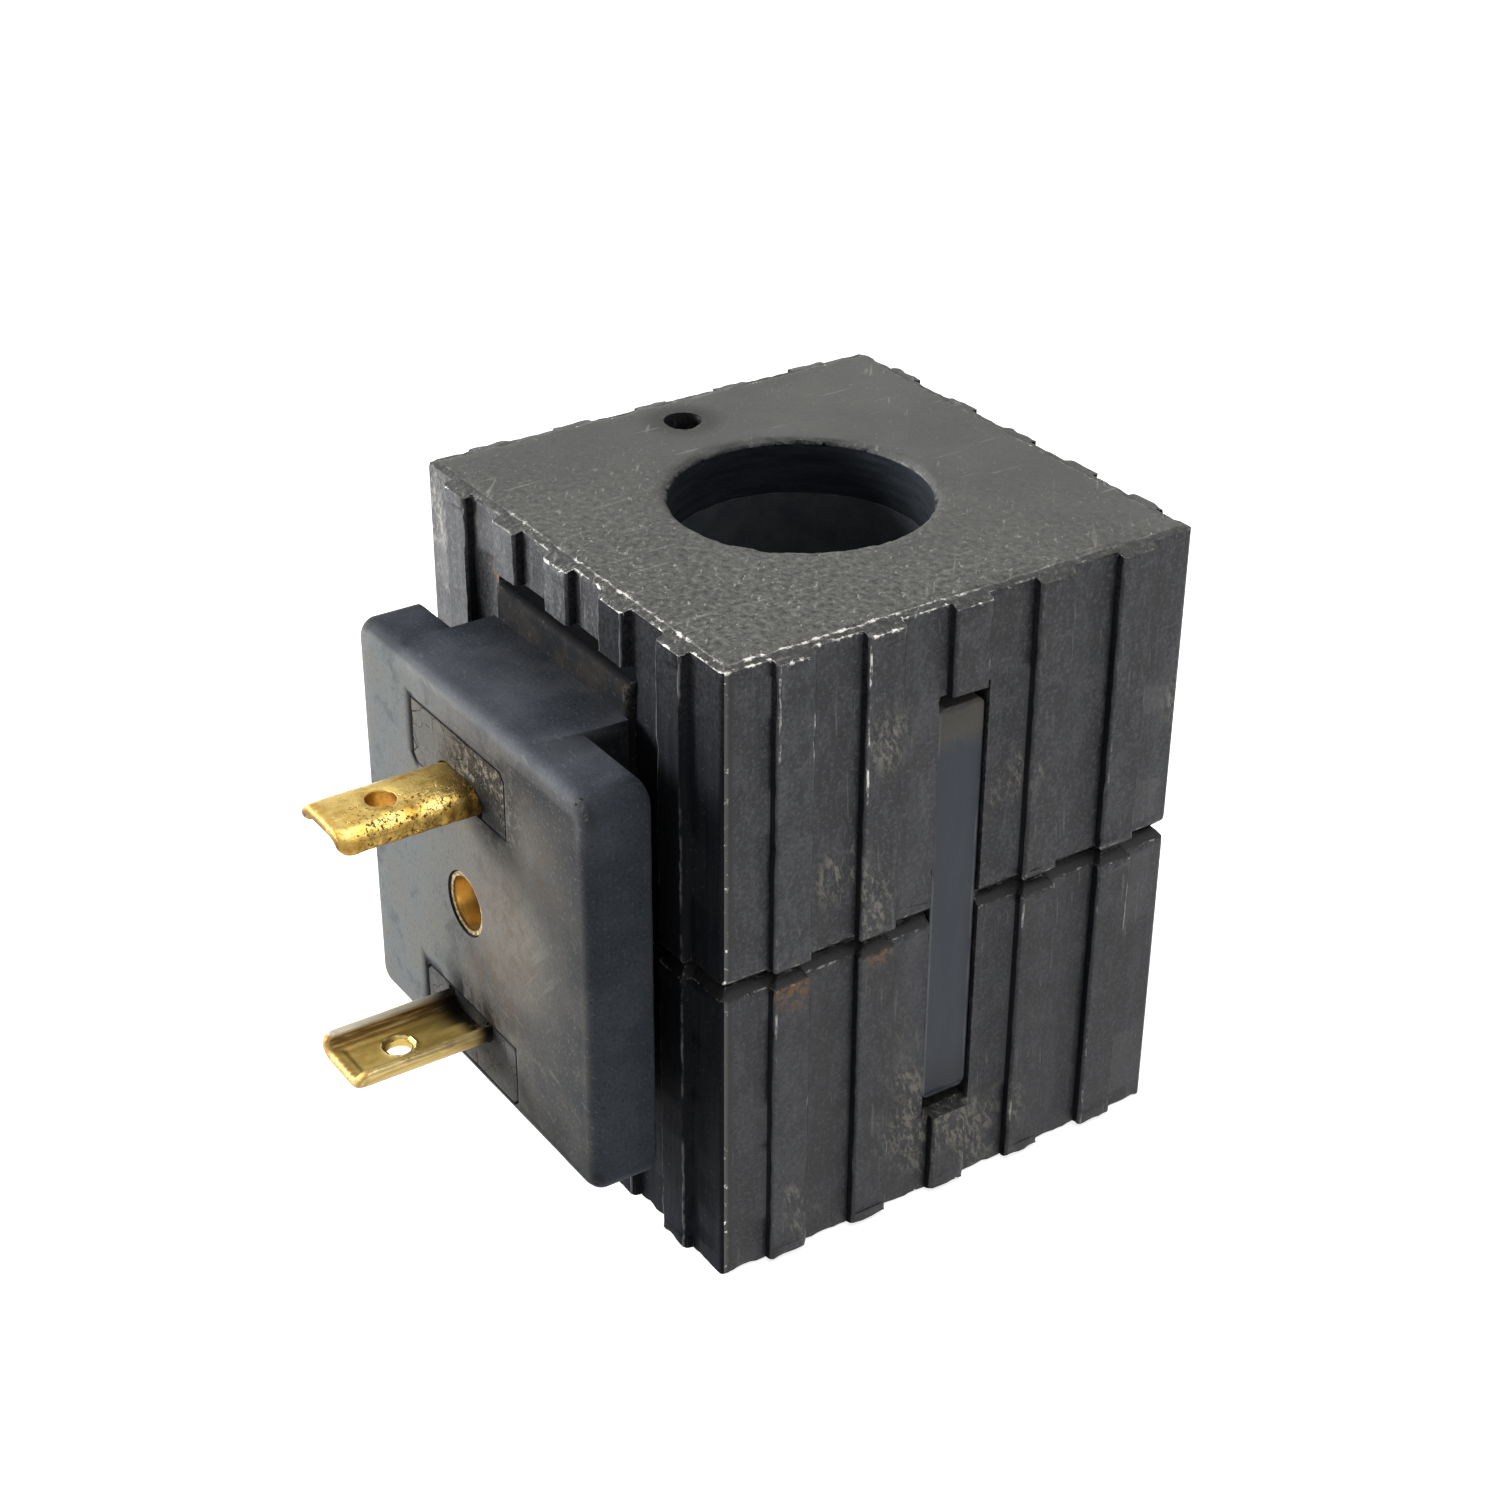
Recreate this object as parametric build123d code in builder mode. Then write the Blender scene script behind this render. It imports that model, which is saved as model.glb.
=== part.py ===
import math
import os
from build123d import *

# Solenoid valve coil: two ribbed steel yoke halves pressed over a moulded winding,
# with a two pin plug connector on the front. Millimetres, Z along the bore axis,
# Z zero on the valve side face, the connector towards minus Y.

# Steel yoke, two equal halves
body_width = 36.0  # across the flat lands between the ribs
body_height = 45.0  # over both end faces
corner_radius = 0.4  # upright corners of the yoke
rib_count = 5  # ribs on each of the four sides
rib_pitch = 6.55
rib_width = 2.9
rib_height = 0.7
rib_root = 1.0  # rib sunk in the wall behind it
rib_edge = 0.2  # broken upright edges of the rib crests
end_plate = 4.0  # thickness of each end of the yoke
side_wall = 2.9  # thinnest steel, in the middle of a side
seam_chamfer = 0.7  # broken edges that make a V groove where the halves meet
face_bevel_width = 0.6  # shallow bevel round each end face, on the lands
face_bevel_angle = 14.0  # degrees from the end face
bore_diameter = 17.5
bore_chamfer = 0.4
window_width = 17.0  # opening in the front walls for the moulding
key_slot_width = 3.9  # slots in the left and right walls
key_slot_inset = 6.4  # from each end face to the end of a slot
locating_hole_diameter = 2.7
locating_hole_depth = 3.0
locating_hole_offset = 14.3  # from the bore axis

# Spool and winding
spool_wall = 0.9
spool_flange = 1.2
spool_flange_cover = 1.5  # moulding round the spool's flanges
winding_cover = 1.95  # moulding round the taped winding
tape_thickness = 0.2

# Moulding round the winding
mould_clearance = 0.1  # between the moulding and the steel round it
flange_width = 16.7  # plate that fills the front window
flange_recess = 0.2  # behind the rib crests
flange_end_gap = 1.0  # below each end plate
flange_edge_radius = 0.6
key_strip_width = 3.6
key_strip_recess = 0.3  # behind the lands
key_strip_end_gap = 1.1
key_strip_corner_radius = 0.7
tongue_width = 10.0  # tongue that carries the connector
tongue_height = 12.0
tongue_length = 1.2

# Connector base, a neck and a square block
neck_width = 16.8
neck_length = 3.0
block_width = 29.8
block_height = 29.0
block_thickness = 4.6
block_shift_x = 1.1  # middle of the block from the bore axis
block_shift_z = 0.8  # middle of the block above the contacts
block_corner_radius = 1.6
block_front_chamfer = 0.7
block_back_chamfer = 0.3

# Contacts and the plug screw, on the standard 18 mm square
contact_pitch = 18.0
contact_drop = 0.2  # middle of the contacts below the middle of the yoke
terminal_width = 6.0
terminal_depth = 1.7
terminal_sheet = 0.8
terminal_bend_radius = 1.5
terminal_reach = 9.7  # in front of the block
terminal_tail = 5.6  # behind the front of the block
terminal_tip_chamfer = 0.5  # corners of the tip, seen from above
terminal_tip_bevel = 0.3  # corners of the tip, seen from the side
terminal_hole_diameter = 2.0
terminal_hole_reach = 5.4  # from the block to the hole
carrier_width = 12.0
carrier_height = 4.6
carrier_depth = 4.4
carrier_gap = 0.12  # round each carrier, in its pocket
carrier_edge = 0.2  # carrier past the ends of the terminal legs
carrier_corner = 0.5
leg_pocket = 0.15  # opening past the legs at the face
leg_pocket_depth = 1.2
joint_room = 0.5  # round the terminal tails, inside the neck
insert_diameter = 4.6
insert_recess = 0.15  # behind the face of the block
insert_gap = 0.1
insert_length = 6.4
insert_counterbore = 3.8
insert_counterbore_depth = 2.2
insert_thread_hole = 2.5  # core of an M3 thread

# Leads from the winding to the terminals
wire_diameter = 0.6
sleeve_wall = 0.3
sleeve_gap = 0.05
solder_diameter = 1.6
solder_length = 1.0
solder_film = 0.1  # between the wire and the terminal

# Places worked out from the sizes above
mid_height = body_height / 2
half_height = body_height / 2
cavity_radius = body_width / 2 - side_wall
bore_radius = bore_diameter / 2
coil_height = body_height - 2 * end_plate
rib_crest = body_width / 2 + rib_height
mould_radius = cavity_radius - mould_clearance
key_strip_length = body_height - 2 * (key_slot_inset + key_strip_end_gap)
spool_tube_radius = bore_radius + spool_wall
spool_flange_radius = mould_radius - spool_flange_cover
tape_radius = mould_radius - winding_cover
winding_radius = tape_radius - tape_thickness
winding_height = coil_height - 2 * spool_flange
flange_front = rib_crest - flange_recess
block_back = flange_front + neck_length
block_front = block_back + block_thickness
insert_front = block_front - insert_recess
tail_end = block_front - terminal_tail
terminal_length = terminal_tail + terminal_reach
contact_offset = contact_pitch / 2
lead_offset = contact_offset + terminal_depth / 2 - terminal_sheet - solder_film - wire_diameter / 2
channel_back = block_front - carrier_depth
sleeve_radius = wire_diameter / 2 + sleeve_gap + sleeve_wall
lead_channel_radius = sleeve_radius + sleeve_gap
carrier_near = contact_offset - terminal_depth / 2 - carrier_edge
contact_middle = mid_height - contact_drop
rib_crest_width = 2 * rib_crest
bevel_slope = math.tan(math.radians(face_bevel_angle))
bevel_depth = (face_bevel_width + rib_height) * bevel_slope
mid_plane = Plane.XY.offset(mid_height)

os.makedirs("parts", exist_ok=True)


def front_plane(distance):
    """Plane facing minus Y, this far in front of the bore axis, centred on the contacts."""
    return Plane(origin=(0, -distance, contact_middle), x_dir=(1, 0, 0), z_dir=(0, -1, 0))


def finish(piece, label):
    """Name a finished piece and write it."""
    piece.part.label = label
    export_step(piece.part, "parts/" + label + ".step")


# Envelope of a half, with the shallow bevel that runs straight across lands and ribs
with BuildPart() as bevelled_envelope:
    with BuildSketch(mid_plane):
        Rectangle(rib_crest_width, rib_crest_width)
    extrude(amount=half_height)
    top_face = bevelled_envelope.faces().sort_by(Axis.Z)[-1]
    chamfer(top_face.edges(), face_bevel_width + rib_height, bevel_depth, reference=top_face)

# One rib, on the side that faces plus X, its seam end broken like the yoke's
with BuildPart() as rib:
    with BuildSketch(mid_plane):
        with Locations((body_width / 2 + (rib_height - rib_root) / 2, 0)):
            Rectangle(rib_height + rib_root, rib_width)
    extrude(amount=half_height)
    seam_end = rib.faces().sort_by(Axis.Z)[0]
    chamfer(seam_end.edges().sort_by(Axis.X)[1:], seam_chamfer)
    chamfer(rib.edges().filter_by(Axis.Z).group_by(Axis.X)[-1], rib_edge)

# Yoke half: ribbed outside, round inside, open towards the seam
with BuildPart() as yoke_half:
    with BuildSketch(mid_plane):
        Rectangle(body_width, body_width)
    extrude(amount=half_height)
    chamfer(yoke_half.faces().sort_by(Axis.Z)[0].edges(), seam_chamfer)
    fillet(yoke_half.edges().filter_by(Axis.Z), corner_radius)
    with PolarLocations(0, 4):
        with GridLocations(0, rib_pitch, 1, rib_count):
            add(rib.part)
    add(bevelled_envelope.part, mode=Mode.INTERSECT)
    with BuildSketch(mid_plane):
        Circle(cavity_radius)
        with Locations((0, -body_width / 2)):
            Rectangle(window_width, body_width)
    extrude(amount=half_height - end_plate, mode=Mode.SUBTRACT)
    with BuildSketch(mid_plane):
        Rectangle(rib_crest_width, key_slot_width)
    extrude(amount=half_height - key_slot_inset, mode=Mode.SUBTRACT)
    with BuildSketch(mid_plane):
        Circle(bore_radius)
    extrude(amount=half_height, mode=Mode.SUBTRACT)
    end_circles = yoke_half.edges().filter_by(GeomType.CIRCLE).group_by(Axis.Z)[-1]
    chamfer(end_circles.sort_by(SortBy.RADIUS)[-1], bore_chamfer)

# Upper half, with the locating hole for an anti turn pin
with BuildPart() as upper_yoke_shell:
    add(yoke_half.part)
    with Locations((-locating_hole_offset, 0, body_height)):
        Hole(locating_hole_diameter / 2, depth=locating_hole_depth)

# Lower half, the same pressing turned over
with BuildPart() as lower_yoke_shell:
    mirror(yoke_half.part, about=mid_plane)

finish(upper_yoke_shell, "upper_yoke_shell")
finish(lower_yoke_shell, "lower_yoke_shell")

# Spool that the wire is wound on, its tube lines the bore
with BuildPart() as bobbin:
    with BuildSketch(Plane.XY.offset(end_plate)):
        Circle(spool_tube_radius)
    extrude(amount=coil_height)
    with BuildSketch(Plane.XY.offset(end_plate), Plane.XY.offset(body_height - end_plate - spool_flange)):
        Circle(spool_flange_radius)
    extrude(amount=spool_flange)
    with BuildSketch(Plane.XY.offset(end_plate)):
        Circle(bore_radius)
    extrude(amount=coil_height, mode=Mode.SUBTRACT)

finish(bobbin, "bobbin")

# Winding, drawn as one ring of packed wire
with BuildPart() as winding:
    with BuildSketch(Plane.XY.offset(end_plate + spool_flange)):
        Circle(winding_radius)
        Circle(spool_tube_radius, mode=Mode.SUBTRACT)
    extrude(amount=winding_height)

finish(winding, "winding")

# Tape over the winding, with a hole for each lead
with BuildPart() as winding_tape:
    with BuildSketch(Plane.XY.offset(end_plate + spool_flange)):
        Circle(tape_radius)
        Circle(winding_radius, mode=Mode.SUBTRACT)
    extrude(amount=winding_height)
    with BuildSketch(front_plane(0)):
        with GridLocations(0, 2 * lead_offset, 1, 2):
            Circle(lead_channel_radius)
    extrude(amount=flange_front, mode=Mode.SUBTRACT)

finish(winding_tape, "winding_tape")

# Moulding: barrel, front flange with its tongue, and a key strip on each side
with BuildPart() as coil_encapsulation:
    with BuildSketch(Plane.XY.offset(end_plate)):
        Circle(mould_radius)
    extrude(amount=coil_height)
    with BuildSketch(Plane.XY.offset(end_plate + flange_end_gap)):
        with Locations((0, -flange_front / 2)):
            Rectangle(flange_width, flange_front)
    extrude(amount=coil_height - 2 * flange_end_gap)
    flange_edges = coil_encapsulation.faces().sort_by(Axis.Y)[0].edges()
    fillet(flange_edges, flange_edge_radius)
    with BuildSketch(Plane.YZ):
        with Locations((0, mid_height)):
            RectangleRounded(key_strip_width, key_strip_length, key_strip_corner_radius)
    extrude(amount=body_width / 2 - key_strip_recess, both=True)
    with BuildSketch(front_plane(flange_front)):
        Rectangle(tongue_width, tongue_height)
    extrude(amount=tongue_length)
    with BuildSketch(Plane.XY.offset(end_plate)):
        Circle(spool_flange_radius)
    extrude(amount=spool_flange, mode=Mode.SUBTRACT)
    with BuildSketch(Plane.XY.offset(body_height - end_plate - spool_flange)):
        Circle(spool_flange_radius)
    extrude(amount=spool_flange, mode=Mode.SUBTRACT)
    with BuildSketch(Plane.XY.offset(end_plate + spool_flange)):
        Circle(tape_radius)
    extrude(amount=winding_height, mode=Mode.SUBTRACT)
    with BuildSketch(front_plane(0)):
        with GridLocations(0, 2 * lead_offset, 1, 2):
            Circle(lead_channel_radius)
    extrude(amount=flange_front, mode=Mode.SUBTRACT)

finish(coil_encapsulation, "coil_encapsulation")


def terminal_profile(side):
    """Folded sheet section, open towards the middle of the connector."""
    back = side * (contact_offset + terminal_depth / 2)
    mouth = side * (contact_offset - terminal_depth / 2)
    web = back - side * terminal_sheet
    half = terminal_width / 2
    inner = half - terminal_sheet
    with BuildSketch(front_plane(tail_end)) as section:
        with BuildLine():
            Polyline(
                (-half, mouth),
                (-half, back),
                (half, back),
                (half, mouth),
                (inner, mouth),
                (inner, web),
                (-inner, web),
                (-inner, mouth),
                close=True,
            )
        make_face()
        back_corners = section.vertices().filter_by(lambda corner: abs(corner.Y - back) < 0.01)
        fillet(back_corners, terminal_bend_radius)
        web_corners = section.vertices().filter_by(lambda corner: abs(corner.Y - web) < 0.01)
        fillet(web_corners, terminal_bend_radius - terminal_sheet)
    return section


def carrier_outline(side, gap):
    """Outline of a terminal carrier, or with a gap of its pocket, two corners cut."""
    middle = carrier_near + carrier_height / 2
    with BuildSketch(front_plane(channel_back)) as outline:
        with Locations((0, side * middle)):
            Rectangle(carrier_width + 2 * gap, carrier_height + 2 * gap)
        cut_corners = outline.vertices().filter_by(lambda corner: corner.X * side * (corner.Y - side * middle) > 0)
        chamfer(cut_corners, carrier_corner)
    return outline


# Connector base: neck and block in one moulding, with pockets for the carriers
with BuildPart() as connector_base:
    with BuildSketch(front_plane(block_back)):
        with Locations((block_shift_x, block_shift_z)):
            RectangleRounded(block_width, block_height, block_corner_radius)
    extrude(amount=block_thickness)
    chamfer(connector_base.faces().sort_by(Axis.Y)[0].edges(), block_front_chamfer)
    chamfer(connector_base.faces().sort_by(Axis.Y)[-1].edges(), block_back_chamfer)
    with BuildSketch(front_plane(flange_front)):
        with Locations((0, block_shift_z)):
            Rectangle(neck_width, block_height)
    extrude(amount=neck_length + block_back_chamfer)
    with BuildSketch(front_plane(flange_front)):
        Rectangle(tongue_width, tongue_height)
    extrude(amount=tongue_length, mode=Mode.SUBTRACT)
    with BuildSketch(front_plane(flange_front)):
        with GridLocations(0, contact_pitch, 1, 2):
            Rectangle(terminal_width + 2 * joint_room, terminal_depth + 2 * joint_room)
    extrude(amount=channel_back - flange_front, mode=Mode.SUBTRACT)
    with BuildSketch(front_plane(block_front)):
        Circle(insert_diameter / 2)
    extrude(amount=-insert_length, mode=Mode.SUBTRACT)
    for side in (1, -1):
        extrude(carrier_outline(side, carrier_gap).sketch, amount=carrier_depth, mode=Mode.SUBTRACT)

finish(connector_base, "connector_base")

# Threaded insert for the screw that holds the plug
with BuildPart() as plug_screw_insert:
    with BuildSketch(front_plane(insert_front)):
        Circle(insert_diameter / 2 - insert_gap)
    extrude(amount=insert_recess - insert_length)
    with BuildSketch(front_plane(insert_front)):
        Circle(insert_counterbore / 2)
    extrude(amount=-insert_counterbore_depth, mode=Mode.SUBTRACT)
    with BuildSketch(front_plane(insert_front)):
        Circle(insert_thread_hole / 2)
    extrude(amount=-insert_length, mode=Mode.SUBTRACT)

finish(plug_screw_insert, "plug_screw_insert")

# For each contact: the terminal, its carrier, the lead, its sleeve and the solder
for side, place, end in ((1, "upper", "start"), (-1, "lower", "finish")):
    contact_z = contact_middle + side * contact_offset
    web_back = contact_z + side * terminal_depth / 2
    web_inside = web_back - side * terminal_sheet
    lead_z = contact_middle + side * lead_offset
    profile = terminal_profile(side)

    with BuildPart() as terminal:
        extrude(profile.sketch, amount=terminal_length)
        with BuildSketch(Plane.XY.offset(contact_z)) as seen_from_above:
            with Locations((0, -tail_end - terminal_length / 2)):
                Rectangle(terminal_width, terminal_length)
            chamfer(seen_from_above.vertices().group_by(Axis.Y)[0], terminal_tip_chamfer)
        extrude(amount=terminal_depth, both=True, mode=Mode.INTERSECT)
        with BuildSketch(Plane.YZ) as seen_from_side:
            with Locations((-tail_end - terminal_length / 2, contact_z)):
                Rectangle(terminal_length, terminal_depth)
            chamfer(seen_from_side.vertices().group_by(Axis.X)[0], terminal_tip_bevel)
        extrude(amount=terminal_width, both=True, mode=Mode.INTERSECT)
        with BuildSketch(Plane.XY.offset(web_back)):
            with Locations((0, -(block_front + terminal_hole_reach))):
                Circle(terminal_hole_diameter / 2)
        extrude(amount=-side * terminal_sheet, mode=Mode.SUBTRACT)
    finish(terminal, "terminal_" + place)

    with BuildPart() as carrier:
        extrude(carrier_outline(side, 0).sketch, amount=carrier_depth)
        extrude(profile.sketch, amount=terminal_tail, mode=Mode.SUBTRACT)
        with BuildSketch(front_plane(block_front)):
            with Locations((0, side * (contact_offset - terminal_depth / 2))):
                with GridLocations(terminal_width - terminal_sheet, 0, 2, 1):
                    Rectangle(terminal_sheet, 2 * leg_pocket)
        extrude(amount=-leg_pocket_depth, mode=Mode.SUBTRACT)
    finish(carrier, "terminal_carrier_" + place)

    with BuildPart() as solder_joint:
        with BuildSketch(Plane.XZ.offset(tail_end)):
            with Locations((0, lead_z)):
                Circle(solder_diameter / 2)
                Circle(wire_diameter / 2, mode=Mode.SUBTRACT)
            with Locations((0, web_inside + side * solder_diameter / 2)):
                Rectangle(solder_diameter, solder_diameter, mode=Mode.SUBTRACT)
        extrude(amount=solder_length)
    finish(solder_joint, "solder_joint_" + place)

    with BuildPart() as lead_wire:
        with BuildSketch(Plane.XZ.offset(winding_radius)):
            with Locations((0, lead_z)):
                Circle(wire_diameter / 2)
        extrude(amount=tail_end + solder_length - winding_radius)
    finish(lead_wire, "lead_wire_" + end)

    with BuildPart() as lead_sleeve:
        with BuildSketch(Plane.XZ.offset(tape_radius)):
            with Locations((0, lead_z)):
                Circle(sleeve_radius)
                Circle(wire_diameter / 2 + sleeve_gap, mode=Mode.SUBTRACT)
        extrude(amount=tail_end - sleeve_gap - tape_radius)
    finish(lead_sleeve, "lead_sleeve_" + end)
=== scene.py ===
import math

import bmesh
import bpy
from mathutils import Matrix, Vector, noise


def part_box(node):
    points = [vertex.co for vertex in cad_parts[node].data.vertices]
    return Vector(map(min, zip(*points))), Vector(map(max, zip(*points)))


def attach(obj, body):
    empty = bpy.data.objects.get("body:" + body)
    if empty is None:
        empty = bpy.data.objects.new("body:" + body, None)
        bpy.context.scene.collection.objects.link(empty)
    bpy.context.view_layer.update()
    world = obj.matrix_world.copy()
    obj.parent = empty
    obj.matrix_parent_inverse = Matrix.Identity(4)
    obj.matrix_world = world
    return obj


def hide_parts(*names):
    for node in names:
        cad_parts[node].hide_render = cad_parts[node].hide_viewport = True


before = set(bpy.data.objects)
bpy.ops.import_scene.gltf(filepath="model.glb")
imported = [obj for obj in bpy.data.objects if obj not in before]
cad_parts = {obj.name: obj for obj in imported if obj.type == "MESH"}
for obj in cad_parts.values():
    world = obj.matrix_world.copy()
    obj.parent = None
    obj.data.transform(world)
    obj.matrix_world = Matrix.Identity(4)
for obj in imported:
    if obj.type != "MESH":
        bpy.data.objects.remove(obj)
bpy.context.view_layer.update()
mm = 0.001

# heights and widths that several pieces share, read from the frame
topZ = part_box("upper_yoke_shell")[1].z
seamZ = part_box("upper_yoke_shell")[0].z
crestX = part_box("upper_yoke_shell")[1].x
blockLow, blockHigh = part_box("connector_base")
blockFace = blockLow.y / mm  # front of the block


class Signal:  # one output socket, so that sums and products of sockets read as sums and products
    def __init__(self, graph, socket):
        self.graph = graph
        self.socket = socket

    def maths(self, operation, *others):
        values = dict(enumerate((self,) + others))
        return self.graph.node("ShaderNodeMath", {"operation": operation}, values)

    def reflected(self, operation, other):
        return self.graph.node("ShaderNodeMath", {"operation": operation}, {0: other, 1: self})

    def __add__(self, other):
        return self.maths("ADD", other)

    def __radd__(self, other):
        return self.reflected("ADD", other)

    def __sub__(self, other):
        return self.maths("SUBTRACT", other)

    def __rsub__(self, other):
        return self.reflected("SUBTRACT", other)

    def __mul__(self, other):
        return self.maths("MULTIPLY", other)

    def __rmul__(self, other):
        return self.reflected("MULTIPLY", other)

    def __truediv__(self, other):
        return self.maths("DIVIDE", other)

    def __rtruediv__(self, other):
        return self.reflected("DIVIDE", other)

    def __pow__(self, other):
        return self.maths("POWER", other)

    def __abs__(self):
        return self.maths("ABSOLUTE")

    def atLeast(self, other):
        return self.maths("MAXIMUM", other)

    def atMost(self, other):
        return self.maths("MINIMUM", other)

    def folded(self, half):  # distance to the nearest multiple of twice this half
        return self.maths("PINGPONG", half)

    def fade(self, low, high):  # 0 below low, 1 above high, smooth between
        settings = {"interpolation_type": "SMOOTHSTEP"}
        values = {"Value": self, "From Min": low, "From Max": high}
        return self.graph.node("ShaderNodeMapRange", settings, values)


class Graph:  # adds nodes to a shader tree or a geometry tree
    def __init__(self, tree):
        self.tree = tree

    def node(self, kind, settings=None, values=None, out=0):
        made = self.tree.nodes.new(kind)
        for name, value in (settings or {}).items():
            setattr(made, name, value)
        for name, value in (values or {}).items():
            if isinstance(value, Signal):
                self.tree.links.new(value.socket, made.inputs[name])
            else:
                made.inputs[name].default_value = value
        return Signal(self, made.outputs[out]) if len(made.outputs) else made

    def seenDirectly(self):  # 1 where the camera, a reflection or glass shows it, 0 where it only lights
        camera, glossy, through = (
            self.node("ShaderNodeLightPath", out=ray)
            for ray in ("Is Camera Ray", "Is Glossy Ray", "Is Transmission Ray")
        )
        return camera.atLeast(glossy).atLeast(through)


class Finish(Graph):  # one material, worked out in millimetres of the object's own space
    def __init__(self, name):
        self.material = bpy.data.materials.new(name)
        self.material.use_nodes = True
        super().__init__(self.material.node_tree)
        self.tree.nodes.clear()
        metres = self.node("ShaderNodeTexCoord", out="Object")
        self.place = self.node("ShaderNodeVectorMath", {"operation": "SCALE"}, {0: metres, "Scale": 1 / mm})
        self.x, self.y, self.z = (self.part(self.place, axis) for axis in range(3))

    def part(self, vector, axis):
        return self.node("ShaderNodeSeparateXYZ", {}, {0: vector}, out=axis)

    # features this much longer along each turned axis
    def drawn(self, longer, turn=(0, 0, 0), shift=(0, 0, 0)):
        values = {"Vector": self.place, "Scale": longer, "Rotation": turn, "Location": shift}
        return self.node("ShaderNodeMapping", {"vector_type": "TEXTURE"}, values)

    def noise(self, size, detail, rough, longer=(1, 1, 1), turn=(0, 0, 0), shift=(0, 0, 0), bend=0.0):
        values = {"Scale": 1 / size, "Detail": detail, "Roughness": rough, "Distortion": bend}
        values["Vector"] = self.drawn(longer, turn, shift)
        return self.node("ShaderNodeTexNoise", {}, values)

    def cells(self, size, feature="F1", shift=(0, 0, 0)):
        where = self.drawn((1, 1, 1), shift=shift)
        return self.node("ShaderNodeTexVoronoi", {"feature": feature}, {"Vector": where, "Scale": 1 / size})

    def scratches(self, turn, width, length, amount, shift=(0, 0, 0)):  # thin lines along one turned axis
        lines = self.noise(width * 4, 1.0, 0.4, (1, 1, length), turn, shift)
        return lines.fade(0.72 - amount, 0.76 - amount)

    def spot(self, centre, radius, soft):  # 1 within the radius of a place, 0 beyond it by soft
        values = {0: self.place, 1: centre}
        distance = self.node("ShaderNodeVectorMath", {"operation": "DISTANCE"}, values, out="Value")
        return 1 - distance.fade(radius, radius + soft)

    def spots(self, places):  # each place is a centre, a radius and how softly it ends
        found = self.spot(*places[0])
        for place in places[1:]:
            found = found.atLeast(self.spot(*place))
        return found

    def attribute(self, name):
        return self.node("ShaderNodeAttribute", {"attribute_name": name}, out="Fac")

    def facing(self, axis):  # how far the surface faces along an axis of the object
        return self.part(self.node("ShaderNodeNewGeometry", out="Normal"), axis)

    def blend(self, factor, first, second):
        first, second = ((*c, 1) if isinstance(c, tuple) else c for c in (first, second))
        settings = {"data_type": "RGBA"}
        return self.node("ShaderNodeMix", settings, {0: factor, 6: first, 7: second}, out=2)

    def coats(self, colour, layers):  # each layer is how much of it there is and its colour
        for amount, tone in layers:
            colour = self.blend(amount, colour, tone)
        return colour

    def bump(self, height, distance):
        return self.node("ShaderNodeBump", {}, {"Height": height, "Distance": distance * mm})

    def surface(self, values):
        shader = self.node("ShaderNodeBsdfPrincipled", {}, values)
        self.node("ShaderNodeOutputMaterial", {}, {"Surface": shader})
        return self.material


# Camera, where the photograph was taken from
photograph = {
    "azimuth": 56.02,  # degrees round the object, from the connector side towards plus X
    "elevation": 29.9,
    "roll": 0.34,
    "distance": 198.84,  # mm from the valve side face's middle, along the view
    "aside": -3.1,  # mm across the view
    "above": 22.17,  # mm up the view
    "focalPixels": 2701.9,
    "imagePixels": 1500,
    "sensorWidth": 36.0,
}


def makeCamera():
    turn, tilt, roll = (math.radians(photograph[name]) for name in ("azimuth", "elevation", "roll"))
    back = Vector((math.sin(turn) * math.cos(tilt), -math.cos(turn) * math.cos(tilt), math.sin(tilt)))
    level = Vector((math.cos(turn), math.sin(turn), 0))
    upright = back.cross(level)
    right = level * math.cos(roll) + upright * math.sin(roll)
    up = upright * math.cos(roll) - level * math.sin(roll)
    place = right * photograph["aside"] + up * photograph["above"] + back * photograph["distance"]
    data = bpy.data.cameras.new("photographCamera")
    data.sensor_width = photograph["sensorWidth"]
    data.lens = photograph["sensorWidth"] * photograph["focalPixels"] / photograph["imagePixels"]
    data.clip_start = 0.01
    camera = bpy.data.objects.new("photographCamera", data)
    rows = Matrix((right, up, back)).transposed().to_4x4()
    camera.matrix_world = Matrix.Translation(place * mm) @ rows
    bpy.context.collection.objects.link(camera)
    bpy.context.scene.camera = camera


makeCamera()
print("camera placed")


# Studio: white floor, even sky and soft lamps
studio = {
    "floorHalf": 2.0,  # m
    "floorGlow": 0.78,  # what the camera sees of the floor besides its light
    "floorColour": (0.8, 0.8, 0.8),
    "skyStrength": 0.34,
    "lamps": {
        "frontLamp": {"place": (-0.5, -0.42, 0.2), "size": 0.28, "power": 9.0},
        "topLamp": {"place": (0.1, 0.12, 0.6), "size": 0.4, "power": 2.0},
    },
}


def makeFloor():
    bm = bmesh.new()
    half = studio["floorHalf"]
    corners = ((-half, -half), (half, -half), (half, half), (-half, half))
    bm.faces.new([bm.verts.new((x, y, 0)) for x, y in corners])
    mesh = bpy.data.meshes.new("studioFloor")
    bm.to_mesh(mesh)
    bm.free()
    floor = bpy.data.objects.new("studioFloor", mesh)
    bpy.context.collection.objects.link(floor)
    finish = Finish("floorWhite")
    strength = finish.seenDirectly() * studio["floorGlow"]
    matte = finish.node("ShaderNodeBsdfDiffuse", {}, {"Color": (*studio["floorColour"], 1)})
    glow = finish.node("ShaderNodeEmission", {}, {"Color": (1, 1, 1, 1), "Strength": strength})
    both = finish.node("ShaderNodeAddShader", {}, {0: matte, 1: glow})
    finish.node("ShaderNodeOutputMaterial", {}, {"Surface": both})
    mesh.materials.append(finish.material)


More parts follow.
